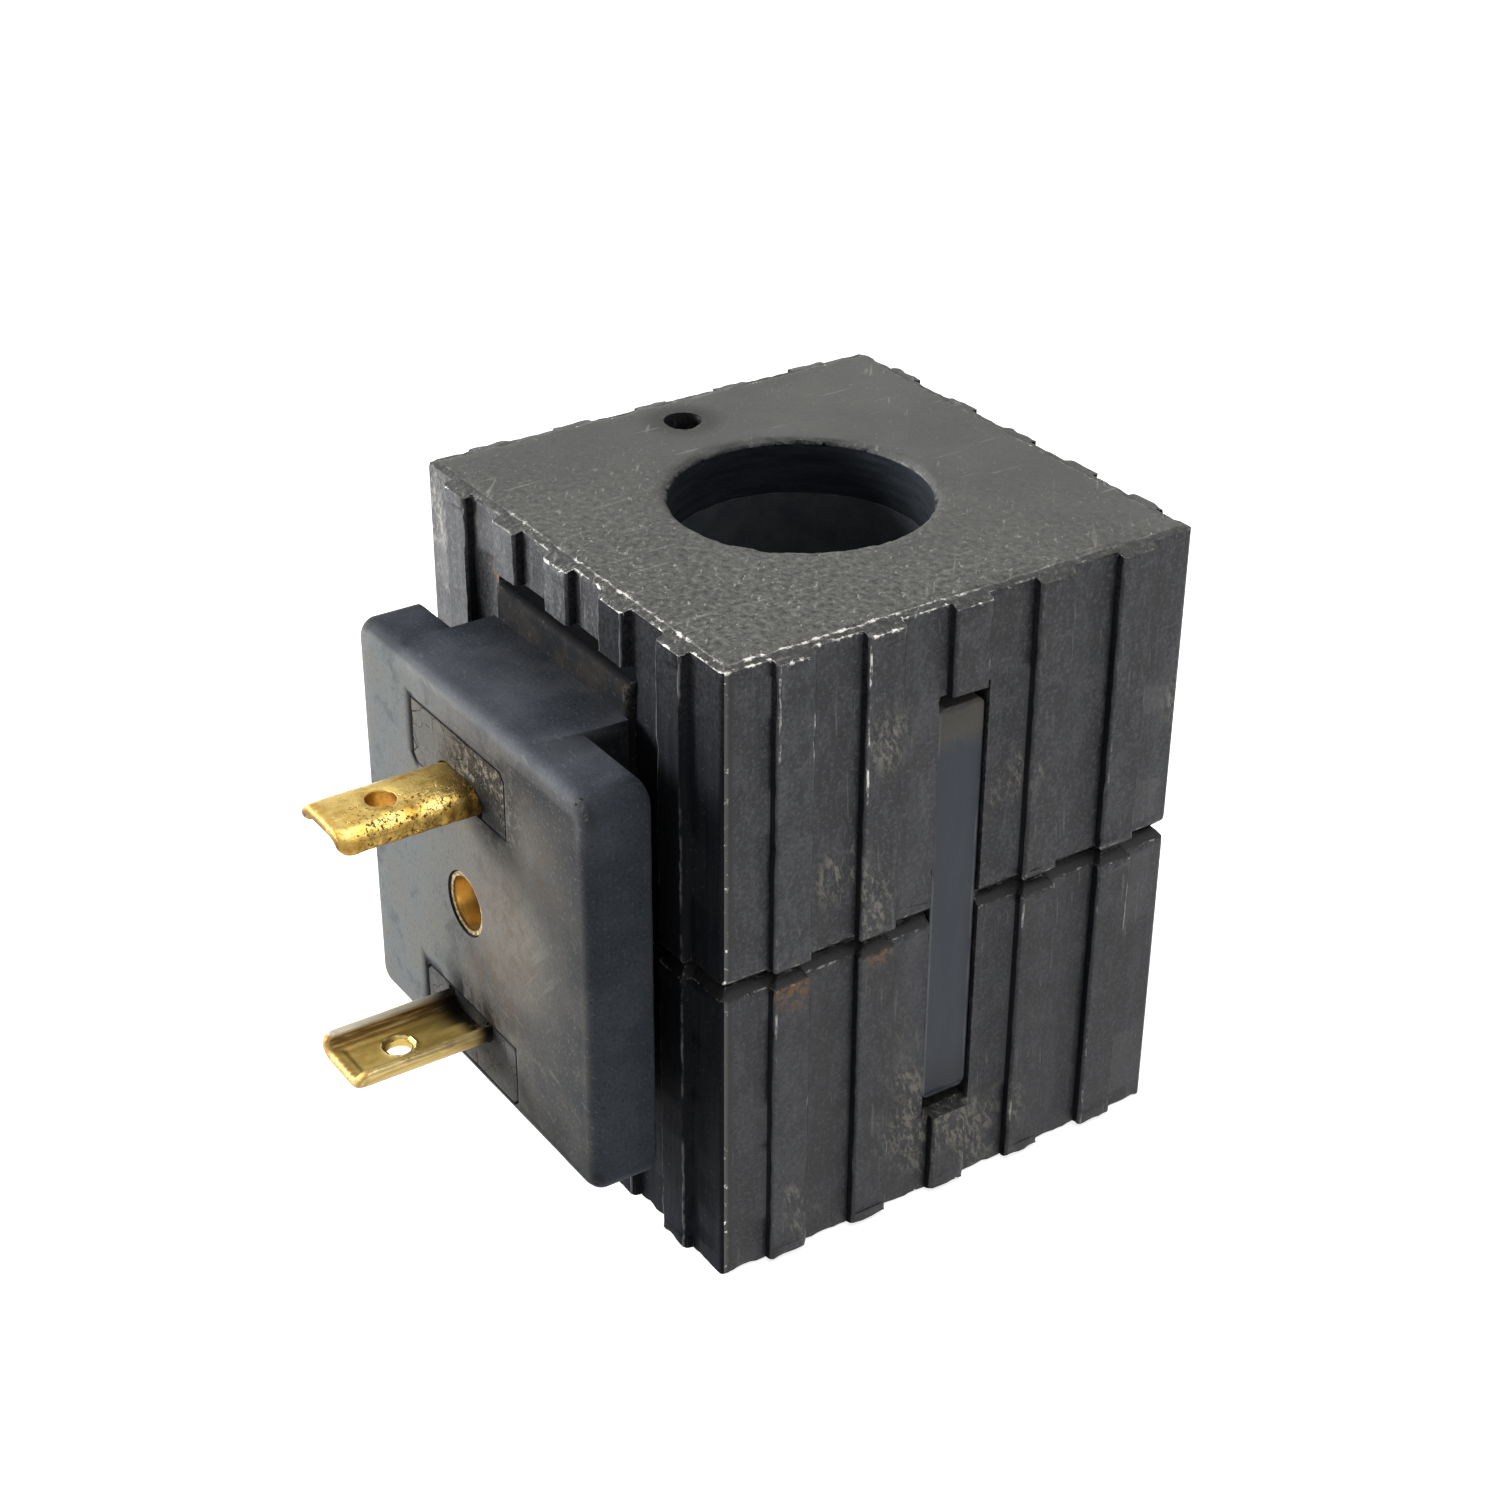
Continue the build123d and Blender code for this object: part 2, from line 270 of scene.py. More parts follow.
def makeSky():
    world = bpy.data.worlds.new("studioSky")
    world.use_nodes = True
    world.node_tree.nodes.clear()
    sky = Graph(world.node_tree)
    strength = studio["skyStrength"] + sky.seenDirectly() * (1 - studio["skyStrength"])
    background = sky.node("ShaderNodeBackground", {}, {"Color": (1, 1, 1, 1), "Strength": strength})
    sky.node("ShaderNodeOutputWorld", {}, {"Surface": background})
    bpy.context.scene.world = world


def makeLamps():
    for name, lamp in studio["lamps"].items():
        data = bpy.data.lights.new(name, "AREA")
        data.shape = "DISK"
        data.size = lamp["size"]
        data.energy = lamp["power"]
        made = bpy.data.objects.new(name, data)
        made.location = lamp["place"]
        towards = Vector((0, 0, seamZ)) - made.location
        made.rotation_euler = towards.to_track_quat("-Z", "Y").to_euler()
        bpy.context.collection.objects.link(made)


makeFloor()
makeSky()
makeLamps()
bpy.context.scene.view_settings.view_transform = "Standard"
print("studio lit")


# Worn edges: a geometry tree that wears a piece at its sharp edges and notes how near they are
wornEdges = {
    "hollowAngle": -2.5,  # an inner corner counts from this many times the sharp angle
    "sockets": [
        ("Sharp Angle", "NodeSocketFloat", 0.15),  # radians, edges sharper than this wear
        ("Reach", "NodeSocketFloat", 0.0003),
        ("Depth", "NodeSocketFloat", 0.0),
        ("Patches", "NodeSocketFloat", 900.0),  # per metre
        ("Seed", "NodeSocketFloat", 1.0),
        ("Finish", "NodeSocketMaterial", None),
    ],
}


def makeWornEdges():
    tree = bpy.data.node_groups.new("wornEdges", "GeometryNodeTree")
    tree.interface.new_socket("Geometry", in_out="INPUT", socket_type="NodeSocketGeometry")
    for name, kind, value in wornEdges["sockets"]:
        socket = tree.interface.new_socket(name, in_out="INPUT", socket_type=kind)
        if value is not None:
            socket.default_value = value
    tree.interface.new_socket("Geometry", in_out="OUTPUT", socket_type="NodeSocketGeometry")
    graph = Graph(tree)
    entry = tree.nodes.new("NodeGroupInput")
    given = {socket.name: Signal(graph, socket) for socket in entry.outputs if socket.name}
    angle = graph.node("GeometryNodeInputMeshEdgeAngle", out="Signed Angle")
    sharp = given["Sharp Angle"]
    hollow = sharp * wornEdges["hollowAngle"]
    outer = graph.node("FunctionNodeCompare", {"operation": "GREATER_THAN"}, {0: angle, 1: sharp})
    inner = graph.node("FunctionNodeCompare", {"operation": "LESS_THAN"}, {0: angle, 1: hollow})
    place = graph.node("GeometryNodeInputPosition")
    distances = []
    for chosen in (outer, inner):
        values = {"Geometry": given["Geometry"], "Selection": chosen}
        edges = graph.node("GeometryNodeSeparateGeometry", {"domain": "EDGE"}, values)
        values = {0: edges, "Sample Position": place}
        settings = {"target_element": "EDGES"}
        distances.append(graph.node("GeometryNodeProximity", settings, values, out="Distance"))
    patches = graph.node("ShaderNodeTexNoise", {"noise_dimensions": "4D"}, {
        "Vector": place,
        "W": given["Seed"],
        "Scale": given["Patches"],
        "Detail": 3.0,
    })
    closeness = 1 - (distances[0] / given["Reach"]).fade(0.0, 1.0)
    depth = closeness * patches.fade(0.42, 0.72) * given["Depth"]
    normal = graph.node("GeometryNodeInputNormal")
    push = graph.node("ShaderNodeVectorMath", {"operation": "SCALE"}, {0: normal, "Scale": depth * -1})
    shape = given["Geometry"]
    settings = {"data_type": "FLOAT", "domain": "POINT"}
    for name, distance in zip(("edgeDistance", "creaseDistance"), distances):
        values = {"Geometry": shape, "Name": name, "Value": distance / mm}
        shape = graph.node("GeometryNodeStoreNamedAttribute", settings, values)
    shape = graph.node("GeometryNodeSetPosition", {}, {"Geometry": shape, "Offset": push})
    shape = graph.node("GeometryNodeRealizeInstances", {}, {"Geometry": shape})
    shape = graph.node("GeometryNodeSetMaterial", {}, {"Geometry": shape, "Material": given["Finish"]})
    result = tree.nodes.new("NodeGroupOutput")
    tree.links.new(shape.socket, result.inputs[0])
    identifiers = {item.name: item.identifier for item in tree.interface.items_tree if item.in_out == "INPUT"}
    return tree, identifiers


wornEdgesTree, wornEdgesInputs = makeWornEdges()


def sharpCopy(node):  # the node's own shape as one closed mesh with whole flat faces
    bm = bmesh.new()
    bm.from_mesh(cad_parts[node].data)
    bmesh.ops.remove_doubles(bm, verts=bm.verts[:], dist=0.001 * mm)
    bmesh.ops.dissolve_limit(bm, angle_limit=0.01, verts=bm.verts[:], edges=bm.edges[:])
    return bm


def cut(bm, axis, places, wanted=None):  # divides the faces by planes square to an axis
    side = Vector([float(i == axis) for i in range(3)])
    for place in places:
        faces = [f for f in bm.faces if wanted is None or wanted(f.calc_center_median())]
        edges = {e for f in faces for e in f.edges}
        corners = {v for f in faces for v in f.verts}
        parts = faces + list(edges) + list(corners)
        bmesh.ops.bisect_plane(bm, geom=parts, dist=0.002 * mm, plane_co=side * place, plane_no=side)


def steps(low, high, pitch):
    count = max(2, round((high - low) / pitch))
    return [low + (high - low) * (i + 0.5) / count for i in range(count)]


def dress(node, bm, material, settings):  # wears the mesh and puts it in the node's place
    mesh = bpy.data.meshes.new(node + "_worn")
    bm.to_mesh(mesh)
    bm.free()
    piece = bpy.data.objects.new(node + "_worn", mesh)
    bpy.context.collection.objects.link(piece)
    modifier = piece.modifiers.new("wornEdges", "NODES")
    modifier.node_group = wornEdgesTree
    for name, value in {**settings, "Finish": material}.items():
        modifier[wornEdgesInputs[name]] = value
    graph = bpy.context.evaluated_depsgraph_get()
    result = piece.evaluated_get(graph)
    worn = bpy.data.meshes.new_from_object(result, preserve_all_data_layers=True, depsgraph=graph)
    piece.modifiers.clear()
    piece.data = worn
    worn.name = node + "_worn"
    worn.shade_smooth()
    worn.set_sharp_from_angle(angle=math.radians(32))
    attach(piece, "root")
    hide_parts(node)
    print(node, len(worn.polygons), "faces")
    return piece


# Yoke: blackened steel, worn bright along its edges
yoke = {
    "bandHeight": 1.1 * mm,  # finely divided band at the end face and at the seam
    "bandPitch": 0.45 * mm,
    "bandRows": (0.08, 0.2, 0.42, 0.56, 0.85),  # mm from the end face and from the seam
    "rowPitch": 0.9 * mm,
    "rimLine": 17.4,  # mm from the axis to the inner line of the end face's bevel
    "landLine": 18.0,
    "rimMargin": 0.12,  # mm, both lines are cut in this far on each side
    "bevelSlope": 0.249,
    "cavityRadius": 15.3 * mm,  # nothing inside this needs dividing
    "ribPitch": 6.55,
    "ribCrestHalf": 1.25,
    "ribHeight": 0.7,
    "holeCentre": (-14.3, 0, 45.0),
    "boreRadius": 8.9,
    "shadowedFrom": 5.15,  # mm right of the axis, where the block starts to keep the light off the front
    "cornerTip": [((18.1, -18.1, 44.9), 0.25, 0.7)],  # centre, radius and how softly it ends, mm
    "scuff": [((18.7, -6.2, 37.0), 0.5, 2.6)],
    "rust": [
        ((18.5, -13.0, 21.6), 0.5, 1.7),
        ((18.5, -6.4, 21.9), 0.3, 1.3),
        ((-8.4, -18.0, 40.6), 0.3, 1.3),
    ],
    "ribStreaks": ((-14.35, 38.6, 44.4), (-11.85, 36.0, 40.5), (-7.8, 33.5, 44.2)),  # y, lowest and highest z
    "paint": ((0.0078, 0.0084, 0.0105), (0.019, 0.02, 0.0235)),
    "paintGloss": 0.36,
    "rubbedPaint": (0.23, 0.215, 0.18),
    "endFace": ((0.052, 0.052, 0.048), (0.068, 0.068, 0.063)),
    "bareSteel": (0.72, 0.7, 0.66),
    "rustTone": (0.135, 0.072, 0.026),
    "boreSoot": ((0.0085, 0.011, 0.0145), (0.018, 0.0215, 0.027)),
    "paintedShade": ((0.004, 0.0048, 0.007), (0.01, 0.0105, 0.0125)),
    "wear": {"Reach": 0.35 * mm, "Depth": 0.16 * mm, "Patches": 900.0},
}


def yokeFinish():
    finish = Finish("blackenedSteel")
    x, y, z = finish.x, finish.y, finish.z
    edge = finish.attribute("edgeDistance")
    flat = abs(finish.facing(2)).fade(0.5, 0.9)  # end faces
    upright = 1 - flat
    onX = (abs(x) - abs(y)).fade(-0.02, 0.02)  # left and right sides, as against front and back
    along = y * onX + x * (1 - onX)
    fold = abs(along.folded(yoke["ribPitch"] / 2))  # from the middle of the nearest rib
    ribEdge = abs(fold - yoke["ribCrestHalf"])
    depthOut = abs(x).atLeast(abs(y))
    ribWall = depthOut.fade(18.02, 18.08) * depthOut.fade(18.62, 18.5) * upright
    frontness = x - y  # grows towards the front upright corner
    axisDistance = (x * x + y * y) ** 0.5
    fromSeam = abs(z - seamZ / mm)

    # sides: blue black satin, streaked upright, rubbed in patches
    streaks = finish.noise(0.5, 4, 0.6, longer=(1, 1, 16))
    bands = finish.noise(2.2, 2, 0.5, longer=(1, 1, 60), shift=(2, 3, 5))
    mottle = finish.noise(5.0, 4, 0.6, shift=(3, 1, 7))
    blotch = finish.noise(1.5, 5, 0.8, longer=(1, 1, 1.8), shift=(5, 9, 3))
    grain = finish.noise(0.3, 4, 0.75)
    patch = finish.noise(6.5, 2, 0.5, longer=(1, 1, 1.7), shift=(9, 4, 2)).fade(0.56, 0.7)
    patch = patch.atLeast(finish.spots(yoke["scuff"]))
    rubbed = finish.noise(0.42, 5, 0.75, longer=(1, 1, 3), turn=(0.35, 0.3, 0)).fade(0.47, 0.6)
    # painted shade: darker at the feet of the ribs, on the rib walls and on recessed upright faces, plus a
    # painted shadow of the block on the front to its right
    foot = (1 - abs(fold - 1.5).fade(0.0, 0.24)) * fold.fade(1.42, 1.46) * (1 - ribWall)
    inner = depthOut.fade(17.95, 17.6) * upright
    shadowed = y.fade(-17.0, -17.4) * x.fade(3, 11) * 0.85
    paintedShadeMask = (foot * 0.65).atLeast(ribWall * 0.85).atLeast(inner * 0.75).atLeast(shadowed)
    side = finish.coats(finish.blend(streaks.fade(0.3, 0.7), *yoke["paint"]), [
        (bands.fade(0.48, 0.58) * 0.55, (0.04, 0.042, 0.048)),
        (bands.fade(0.48, 0.4) * 0.55, (0.004, 0.0042, 0.0055)),
        (mottle.fade(0.4, 0.66) * 0.35, (0.03, 0.031, 0.034)),
        (blotch.fade(0.5, 0.57) * 0.42, (0.064, 0.065, 0.071)),
        (blotch.fade(0.49, 0.42) * 0.7, (0.004, 0.004, 0.005)),
        (grain.fade(0.54, 0.6) * 0.42, (0.124, 0.127, 0.136)),
        (grain.fade(0.47, 0.39) * 0.85, (0.002, 0.0022, 0.0032)),
        ((1 - z.fade(20.0, 23.0)) * 0.3, (0.004, 0.0042, 0.0055)),
        (patch * rubbed * 0.8, yoke["rubbedPaint"]),
        (paintedShadeMask, (0.0035, 0.0035, 0.0045)),
    ])

    # end faces: olive grey, grainy towards the front corner
    coarse = finish.noise(0.5, 4, 0.75)
    flecks = finish.noise(0.3, 2, 0.6, longer=(1, 2.6, 1), turn=(0, 0, 0.9), shift=(4, 2, 2))
    broad = finish.noise(7.0, 3, 0.5, shift=(1, 8, 0))
    front = frontness.fade(-12, 24)
    bevel = depthOut.fade(17.36, 17.46) * grain.fade(0.58, 0.44)
    end = finish.coats(finish.blend(broad.fade(0.35, 0.68), *yoke["endFace"]), [
        (coarse.fade(0.51, 0.66) * front * 0.95, (0.155, 0.152, 0.136)),
        (coarse.fade(0.5, 0.36) * (front * 0.85 + 0.12), (0.01, 0.01, 0.009)),
        (flecks.fade(0.64, 0.72) * (front * 0.7 + 0.15), (0.28, 0.28, 0.26)),
        (bevel * 0.75, (0.008, 0.008, 0.008)),
        (finish.spot(yoke["holeCentre"], 1.5, 2.0) * 0.9, (0.016, 0.016, 0.015)),
    ])

    # scratches that show lighter metal
    lines = finish.scratches((0.5 * math.pi, 0.3, 0), 0.11, 16, 0.035)
    lines = lines.atLeast(finish.scratches((0.5 * math.pi, 0, 0.9), 0.1, 11, 0.035, (5, 2, 1)))
    lines = lines * flat * 0.55
    lines = lines.atLeast(finish.scratches((0.06, 0.05, 0.2), 0.08, 22, 0.04, (2, 7, 3)) * 0.35 * upright)
    worked = finish.noise(4.0, 2, 0.5, shift=(6, 6, 6)).fade(0.44, 0.6)

    # bare metal on the rims, most of all near the front corner
    reach = frontness.fade(4, 27) * z.fade(20, 40) * 0.85 + 0.15
    outside = axisDistance.fade(11.0, 14.0)
    chipNoise = finish.noise(0.75, 4, 0.7, shift=(3, 1, 5))
    wobble = (finish.noise(0.35, 3, 0.6, shift=(8, 8, 1)) - 0.5) * 0.16
    below = topZ / mm - seamZ / mm - fromSeam  # under the nearer end face
    sideGap = abs(below - (depthOut - yoke["rimLine"]) * yoke["bevelSlope"])
    ribOut = yoke["ribHeight"] - fold.fade(yoke["ribCrestHalf"], 1.45) * yoke["ribHeight"] + yoke["landLine"]
    endGap = abs(depthOut - yoke["rimLine"]).atMost(abs(ribOut - depthOut))
    gap = endGap * flat + sideGap * upright + wobble
    wide = 1 - gap.fade(0.06, 0.24)
    rimChips = wide * (chipNoise + reach * 0.115).fade(0.665, 0.69) * outside
    rimLine = (1 - gap.fade(0.03, 0.1)) * outside * (0.12 + 0.8 * chipNoise.fade(0.46, 0.58)) * reach
    seamRim = (1 - (edge + wobble).fade(0.02, 0.12)) * fromSeam.fade(1.05, 0.85)
    seamRim = seamRim * chipNoise.fade(0.5, 0.64) * 0.4
    tip = finish.spots(yoke["cornerTip"]) * wide
    ribNoise = finish.noise(3.6, 4, 0.8, longer=(1, 1, 2.4), shift=(1, 2, 8))
    broken = finish.noise(0.9, 4, 0.75, longer=(1, 1, 3), shift=(7, 1, 4)).fade(0.46, 0.56)
    ribLine = ribNoise.fade(0.56, 0.66) * 0.6
    for place, low, high in yoke["ribStreaks"]:
        near = 1 - abs(y - place).fade(0.2, 0.3)
        ribLine = ribLine.atLeast(near * z.fade(low - 0.6, low) * z.fade(high + 0.6, high) * x.fade(17, 18))
    ribLine = ribLine * (1 - (ribEdge + (grain - 0.5) * 0.1).fade(0.02, 0.1)) * upright * outside
    ribLine = ribLine * (1 - ribWall) * (0.06 + 0.94 * broken)
    corner = frontness.fade(35.45, 35.75) * upright
    cornerChips = corner * (chipNoise.fade(0.57, 0.63) * ribNoise.fade(0.38, 0.5) + 0.1)
    bare = rimChips
    for other in (rimLine, seamRim, ribLine * 0.8, cornerChips, tip):
        bare = bare.atLeast(other)
    rust = finish.spots(yoke["rust"]) * finish.noise(0.6, 3, 0.7).fade(0.4, 0.56) * fromSeam.fade(0.5, 0.8)
    colour = finish.coats(finish.blend(flat, side, end), [
        (lines * worked * 0.6, (0.3, 0.29, 0.27)),
        # painted shade in the seam groove
        ((1 - fromSeam.fade(0.62, 0.78)) * 0.9, (0.006, 0.006, 0.006)),
        (bare, yoke["bareSteel"]),
        (rust * 0.95, yoke["rustTone"]),
    ])

    height = coarse * flat * front * 1.1 + grain * 0.6 + streaks * upright * 0.5 - bare * 0.5
    return finish.surface({
        "Base Color": colour,
        "Metallic": bare * 0.85,
        "Roughness": 0.4 + grain * 0.2 + flat * 0.08 - bare * 0.1,
        "Normal": finish.bump(height, 0.07),
        "Specular IOR Level": yoke["paintGloss"],
    })


def paintedShade():  # painted shade: dull black where the block keeps the light off, and on the walls of the ribs where shade falls
    finish = Finish("painted_shade")
    streaks = finish.noise(0.5, 4, 0.6, longer=(1, 1, 14))
    grain = finish.noise(0.28, 4, 0.7)
    fold = abs(finish.x.folded(yoke["ribPitch"] / 2))
    ribEdge = 1 - (abs(fold - yoke["ribCrestHalf"]) + (grain - 0.5) * 0.12).fade(0.02, 0.12)
    edgeWear = finish.noise(2.6, 4, 0.8, longer=(1, 1, 2.5), shift=(4, 4, 1)).fade(0.42, 0.6)
    colour = finish.coats(finish.blend(streaks.fade(0.32, 0.68), *yoke["paintedShade"]), [
        (grain.fade(0.6, 0.7) * 0.45, (0.06, 0.062, 0.066)),
        (finish.z.fade(36.5, 44.6) * grain.fade(0.35, 0.6) * 0.45, (0.04, 0.04, 0.043)),
        (ribEdge * edgeWear * finish.y.fade(-18.5, -18.6) * 0.8, (0.17, 0.17, 0.175)),
    ])
    return finish.surface({
        "Base Color": colour,
        "Roughness": 0.62 + grain * 0.15,
        "Normal": finish.bump(grain + streaks * 0.6, 0.04),
        "Specular IOR Level": 0.05,
    })


def boreFinish():  # soot dark wall of the bore
    finish = Finish("bore_soot")
    grain = finish.noise(0.3, 4, 0.65)
    rings = finish.noise(0.5, 3, 0.6, longer=(9, 9, 1))
    lip = finish.z.fade(topZ / mm - 0.5, topZ / mm - 0.1)
    colour = finish.coats(finish.blend(rings.fade(0.35, 0.7), *yoke["boreSoot"]), [
        (grain.fade(0.58, 0.72) * 0.3, (0.035, 0.035, 0.036)),
        (lip * grain.fade(0.35, 0.6) * 0.35, (0.1, 0.1, 0.095)),
    ])
    return finish.surface({
        "Base Color": colour,
        "Roughness": 0.68 + grain * 0.15,
        "Normal": finish.bump(grain + rings * 0.6, 0.04),
        "Specular IOR Level": 0.1,
    })


def yokeZone(place, normal):  # 1 in the bore, 2 for painted shade on rib walls and on the front right of the block
    if abs(normal.z) > 0.5:
        return 0
    if math.hypot(place.x, place.y) < yoke["boreRadius"]:
        return 1
    across, outward = (normal.y, place.x) if abs(place.x) > abs(place.y) else (normal.x, place.y)
    wall = 18.03 < abs(outward) < 18.45 and abs(across) > 0.8
    return 2 if wall or (normal.y < -0.5 and place.x > yoke["shadowedFrom"] and place.y < -17.5) else 0


def makeYoke():
    material, others = yokeFinish(), (boreFinish(), paintedShade())
    band = yoke["bandHeight"]
    rows = [row * mm for row in yoke["bandRows"]]
    margin = yoke["rimMargin"] * mm
    rim = [yoke[name] * mm + shift for name in ("rimLine", "landLine") for shift in (-margin, margin)]
    for node, seed in (("upper_yoke_shell", 2.0), ("lower_yoke_shell", 9.0)):
        bm = sharpCopy(node)
        low, high = (corner.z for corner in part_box(node))
        cut(bm, 2, (low + band, high - band))
        inBand = lambda c: c.z > high - band or c.z < low + band
        outside = lambda c: math.hypot(c.x, c.y) > yoke["cavityRadius"]
        cut(bm, 2, [high - row for row in rows] + [low + row for row in rows], inBand)
        for axis in (0, 1):
            cut(bm, axis, steps(-crestX, crestX, yoke["bandPitch"]), inBand)
            cut(bm, axis, [sign * line for line in rim for sign in (-1, 1)], inBand)
        cut(bm, 2, steps(low + band, high - band, yoke["rowPitch"]), outside)
        piece = dress(node, bm, material, {**yoke["wear"], "Seed": seed})
        for other in others:
            piece.data.materials.append(other)
        for face in piece.data.polygons:
            face.material_index = yokeZone(face.center / mm, face.normal)


makeYoke()


# Connector base: matte moulding, stained round the contacts
connector = {
    "roundedFrom": 0.34 * mm,  # rounding of each edge of the front's chamfer
    "gridPitch": 1.5 * mm,
    "stains": [
        ((6.5, blockFace, 24.0), 1.0, 5.0),
        ((3.5, blockFace, 17.5), 1.0, 4.5),
        ((9.5, blockFace, 31.0), 1.0, 4.5),
    ],
    "scratched": [((8.7, blockFace, 22.0), 1.0, 3.5)],
    "warm": [((5.5, blockFace, 23.5), 1.0, 5.5)],
    "grimy": [((4.4, blockFace, 32.0), 1.8, 3.4)],
    # black smudges low down; the one at x 3.8, z 31.0 is a painted shadow right of the upper terminal's root
    "smudgesAndShadow": [
        ((-1.0, blockFace, 14.9), 0.4, 2.2),
        ((2.5, blockFace, 14.6), 0.4, 2.0),
        ((3.8, blockFace, 31.0), 0.4, 2.0),
        ((1.0, blockFace, 33.2), 0.4, 2.0),
    ],
    "body": ((0.02, 0.024, 0.031), (0.033, 0.038, 0.047)),
    "face": ((0.108, 0.117, 0.118), (0.096, 0.092, 0.084)),
    "grime": (0.014, 0.013, 0.013),
    "sootAndShadow": (0.0015, 0.0016, 0.002),
    "wear": {"Reach": 0.5 * mm, "Depth": 0.03 * mm, "Patches": 500.0, "Seed": 4.0},
}


def connectorFinish():
    finish = Finish("connectorMoulding")
    x, y, z = finish.x, finish.y, finish.z
    front = (0 - finish.facing(1)).fade(0.74, 0.97)
    grain = finish.noise(0.22, 4, 0.65)
    cloud = finish.noise(3.2, 4, 0.6, shift=(2, 5, 1))
    wide = finish.noise(8.0, 3, 0.5, shift=(4, 4, 9))
    body = finish.coats(finish.blend(cloud.fade(0.35, 0.68), *connector["body"]), [
        (y.fade(-24.5, -20.0) * 0.6, (0.006, 0.007, 0.009)),  # painted shade towards the yoke, where the block meets it
        (grain.fade(0.56, 0.68) * 0.55, (0.062, 0.07, 0.082)),
        (grain.fade(0.46, 0.33) * 0.6, (0.004, 0.005, 0.006)),
    ])
    calm = 0.35 + 0.65 * x.fade(11, 5)
    face = finish.coats(finish.blend(x.fade(-10, 5), *connector["face"]), [
        # painted shade on the front: darker to the right, low down and near the top
        (x.fade(7.5, 14.5) * 0.85, (0.018, 0.02, 0.023)),
        (z.fade(25, 13) * x.fade(-6, 3) * 0.8, (0.018, 0.019, 0.021)),
        (z.fade(30, 35.5) * x.fade(-5, 5) * 0.9, (0.012, 0.013, 0.016)),
        (cloud.fade(0.42, 0.64) * 0.4 * calm, (0.118, 0.108, 0.09)),
        (cloud.fade(0.46, 0.34) * 0.45 * calm, (0.032, 0.031, 0.03)),
        (finish.spots(connector["warm"]) * 0.45, (0.15, 0.134, 0.108)),
        (grain.fade(0.56, 0.7) * 0.4, (0.16, 0.16, 0.16)),
        (grain.fade(0.46, 0.33) * 0.35, (0.02, 0.02, 0.022)),
    ])
    stain = finish.spots(connector["stains"]) * finish.noise(1.8, 4, 0.6, bend=0.6).fade(0.4, 0.66)
    lines = finish.scratches((0, 0.75, 0), 0.1, 18, 0.08) * finish.spots(connector["scratched"]) * front
    few = finish.scratches((0.3, 1.9, 0.2), 0.09, 14, 0.03, (4, 1, 6)) * wide.fade(0.45, 0.62)
    grimy = finish.spots(connector["grimy"]) * front
    speck = finish.noise(0.5, 5, 0.8, shift=(6, 2, 9))
    # painted shade in the inner corners
    creaseShade = 1 - finish.attribute("creaseDistance").fade(0.05, 0.5)
    smudgeAndShadow = finish.spots(connector["smudgesAndShadow"]) * front
    smudgeAndShadow = smudgeAndShadow * finish.noise(1.3, 3, 0.6, bend=0.8, shift=(3, 3, 3)).fade(0.3, 0.52)
    polished = (1 - finish.attribute("edgeDistance").fade(0.05, 0.6)) * wide.fade(0.4, 0.62)
    colour = finish.coats(finish.blend(front, body, face), [
        (stain * 0.55 * front, (0.07, 0.052, 0.036)),
        (lines.atLeast(few) * 0.22, (0.2, 0.195, 0.18)),
        (grimy * 0.7, connector["grime"]),
        (grimy * speck.fade(0.5, 0.58) * 0.75, (0.125, 0.118, 0.105)),
        (creaseShade * 0.7, (0.01, 0.01, 0.011)),
        (smudgeAndShadow * 0.93, connector["sootAndShadow"]),
        (polished * z.fade(33, 36) * 0.22, (0.13, 0.135, 0.145)),
    ])
    return finish.surface({
        "Base Color": colour,
        "Roughness": 0.6 + grain * 0.16 - polished * 0.12,
        "Normal": finish.bump(grain * 0.6 + cloud * 0.8, 0.05),
        "Specular IOR Level": 0.1,
    })


def makeConnector():
    bm = sharpCopy("connector_base")
    rim = []
    for e in bm.edges:
        ends = [v.co for v in e.verts]
        if len(e.link_faces) != 2 or min(c.y for c in ends) >= blockLow.y + 0.75 * mm:
            continue
        fromRim = min(
            min(blockHigh[axis] - max(c[axis] for c in ends), min(c[axis] for c in ends) - blockLow[axis])
            for axis in (0, 2)
        )
        if fromRim < 1.3 * mm and 0.6 < e.calc_face_angle_signed(0.0) < 0.95:
            rim.append(e)
    bmesh.ops.bevel(bm, geom=rim, offset=connector["roundedFrom"], segments=3, profile=0.5, affect="EDGES")
    for axis in (0, 2):
        cut(bm, axis, steps(blockLow[axis], blockHigh[axis], connector["gridPitch"]))
    dress("connector_base", bm, connectorFinish(), connector["wear"])


makeConnector()


# Moulding round the winding: brown dusty flange in front, its tones darkened as painted shade, satin strips
# in the side slots
moulding = {
    "gridPitch": 1.2 * mm,
    "flangeBack": -15.6 * mm,
    "stripHalf": (1.8, 15.0),  # mm, half the width and half the length of a strip
    "flange": ((0.008, 0.009, 0.011), (0.02, 0.018, 0.016)),
    "strip": ((0.032, 0.038, 0.052), (0.04, 0.046, 0.06)),
    "wear": {"Reach": 0.4 * mm, "Depth": 0.02 * mm, "Patches": 600.0, "Seed": 6.0},
}


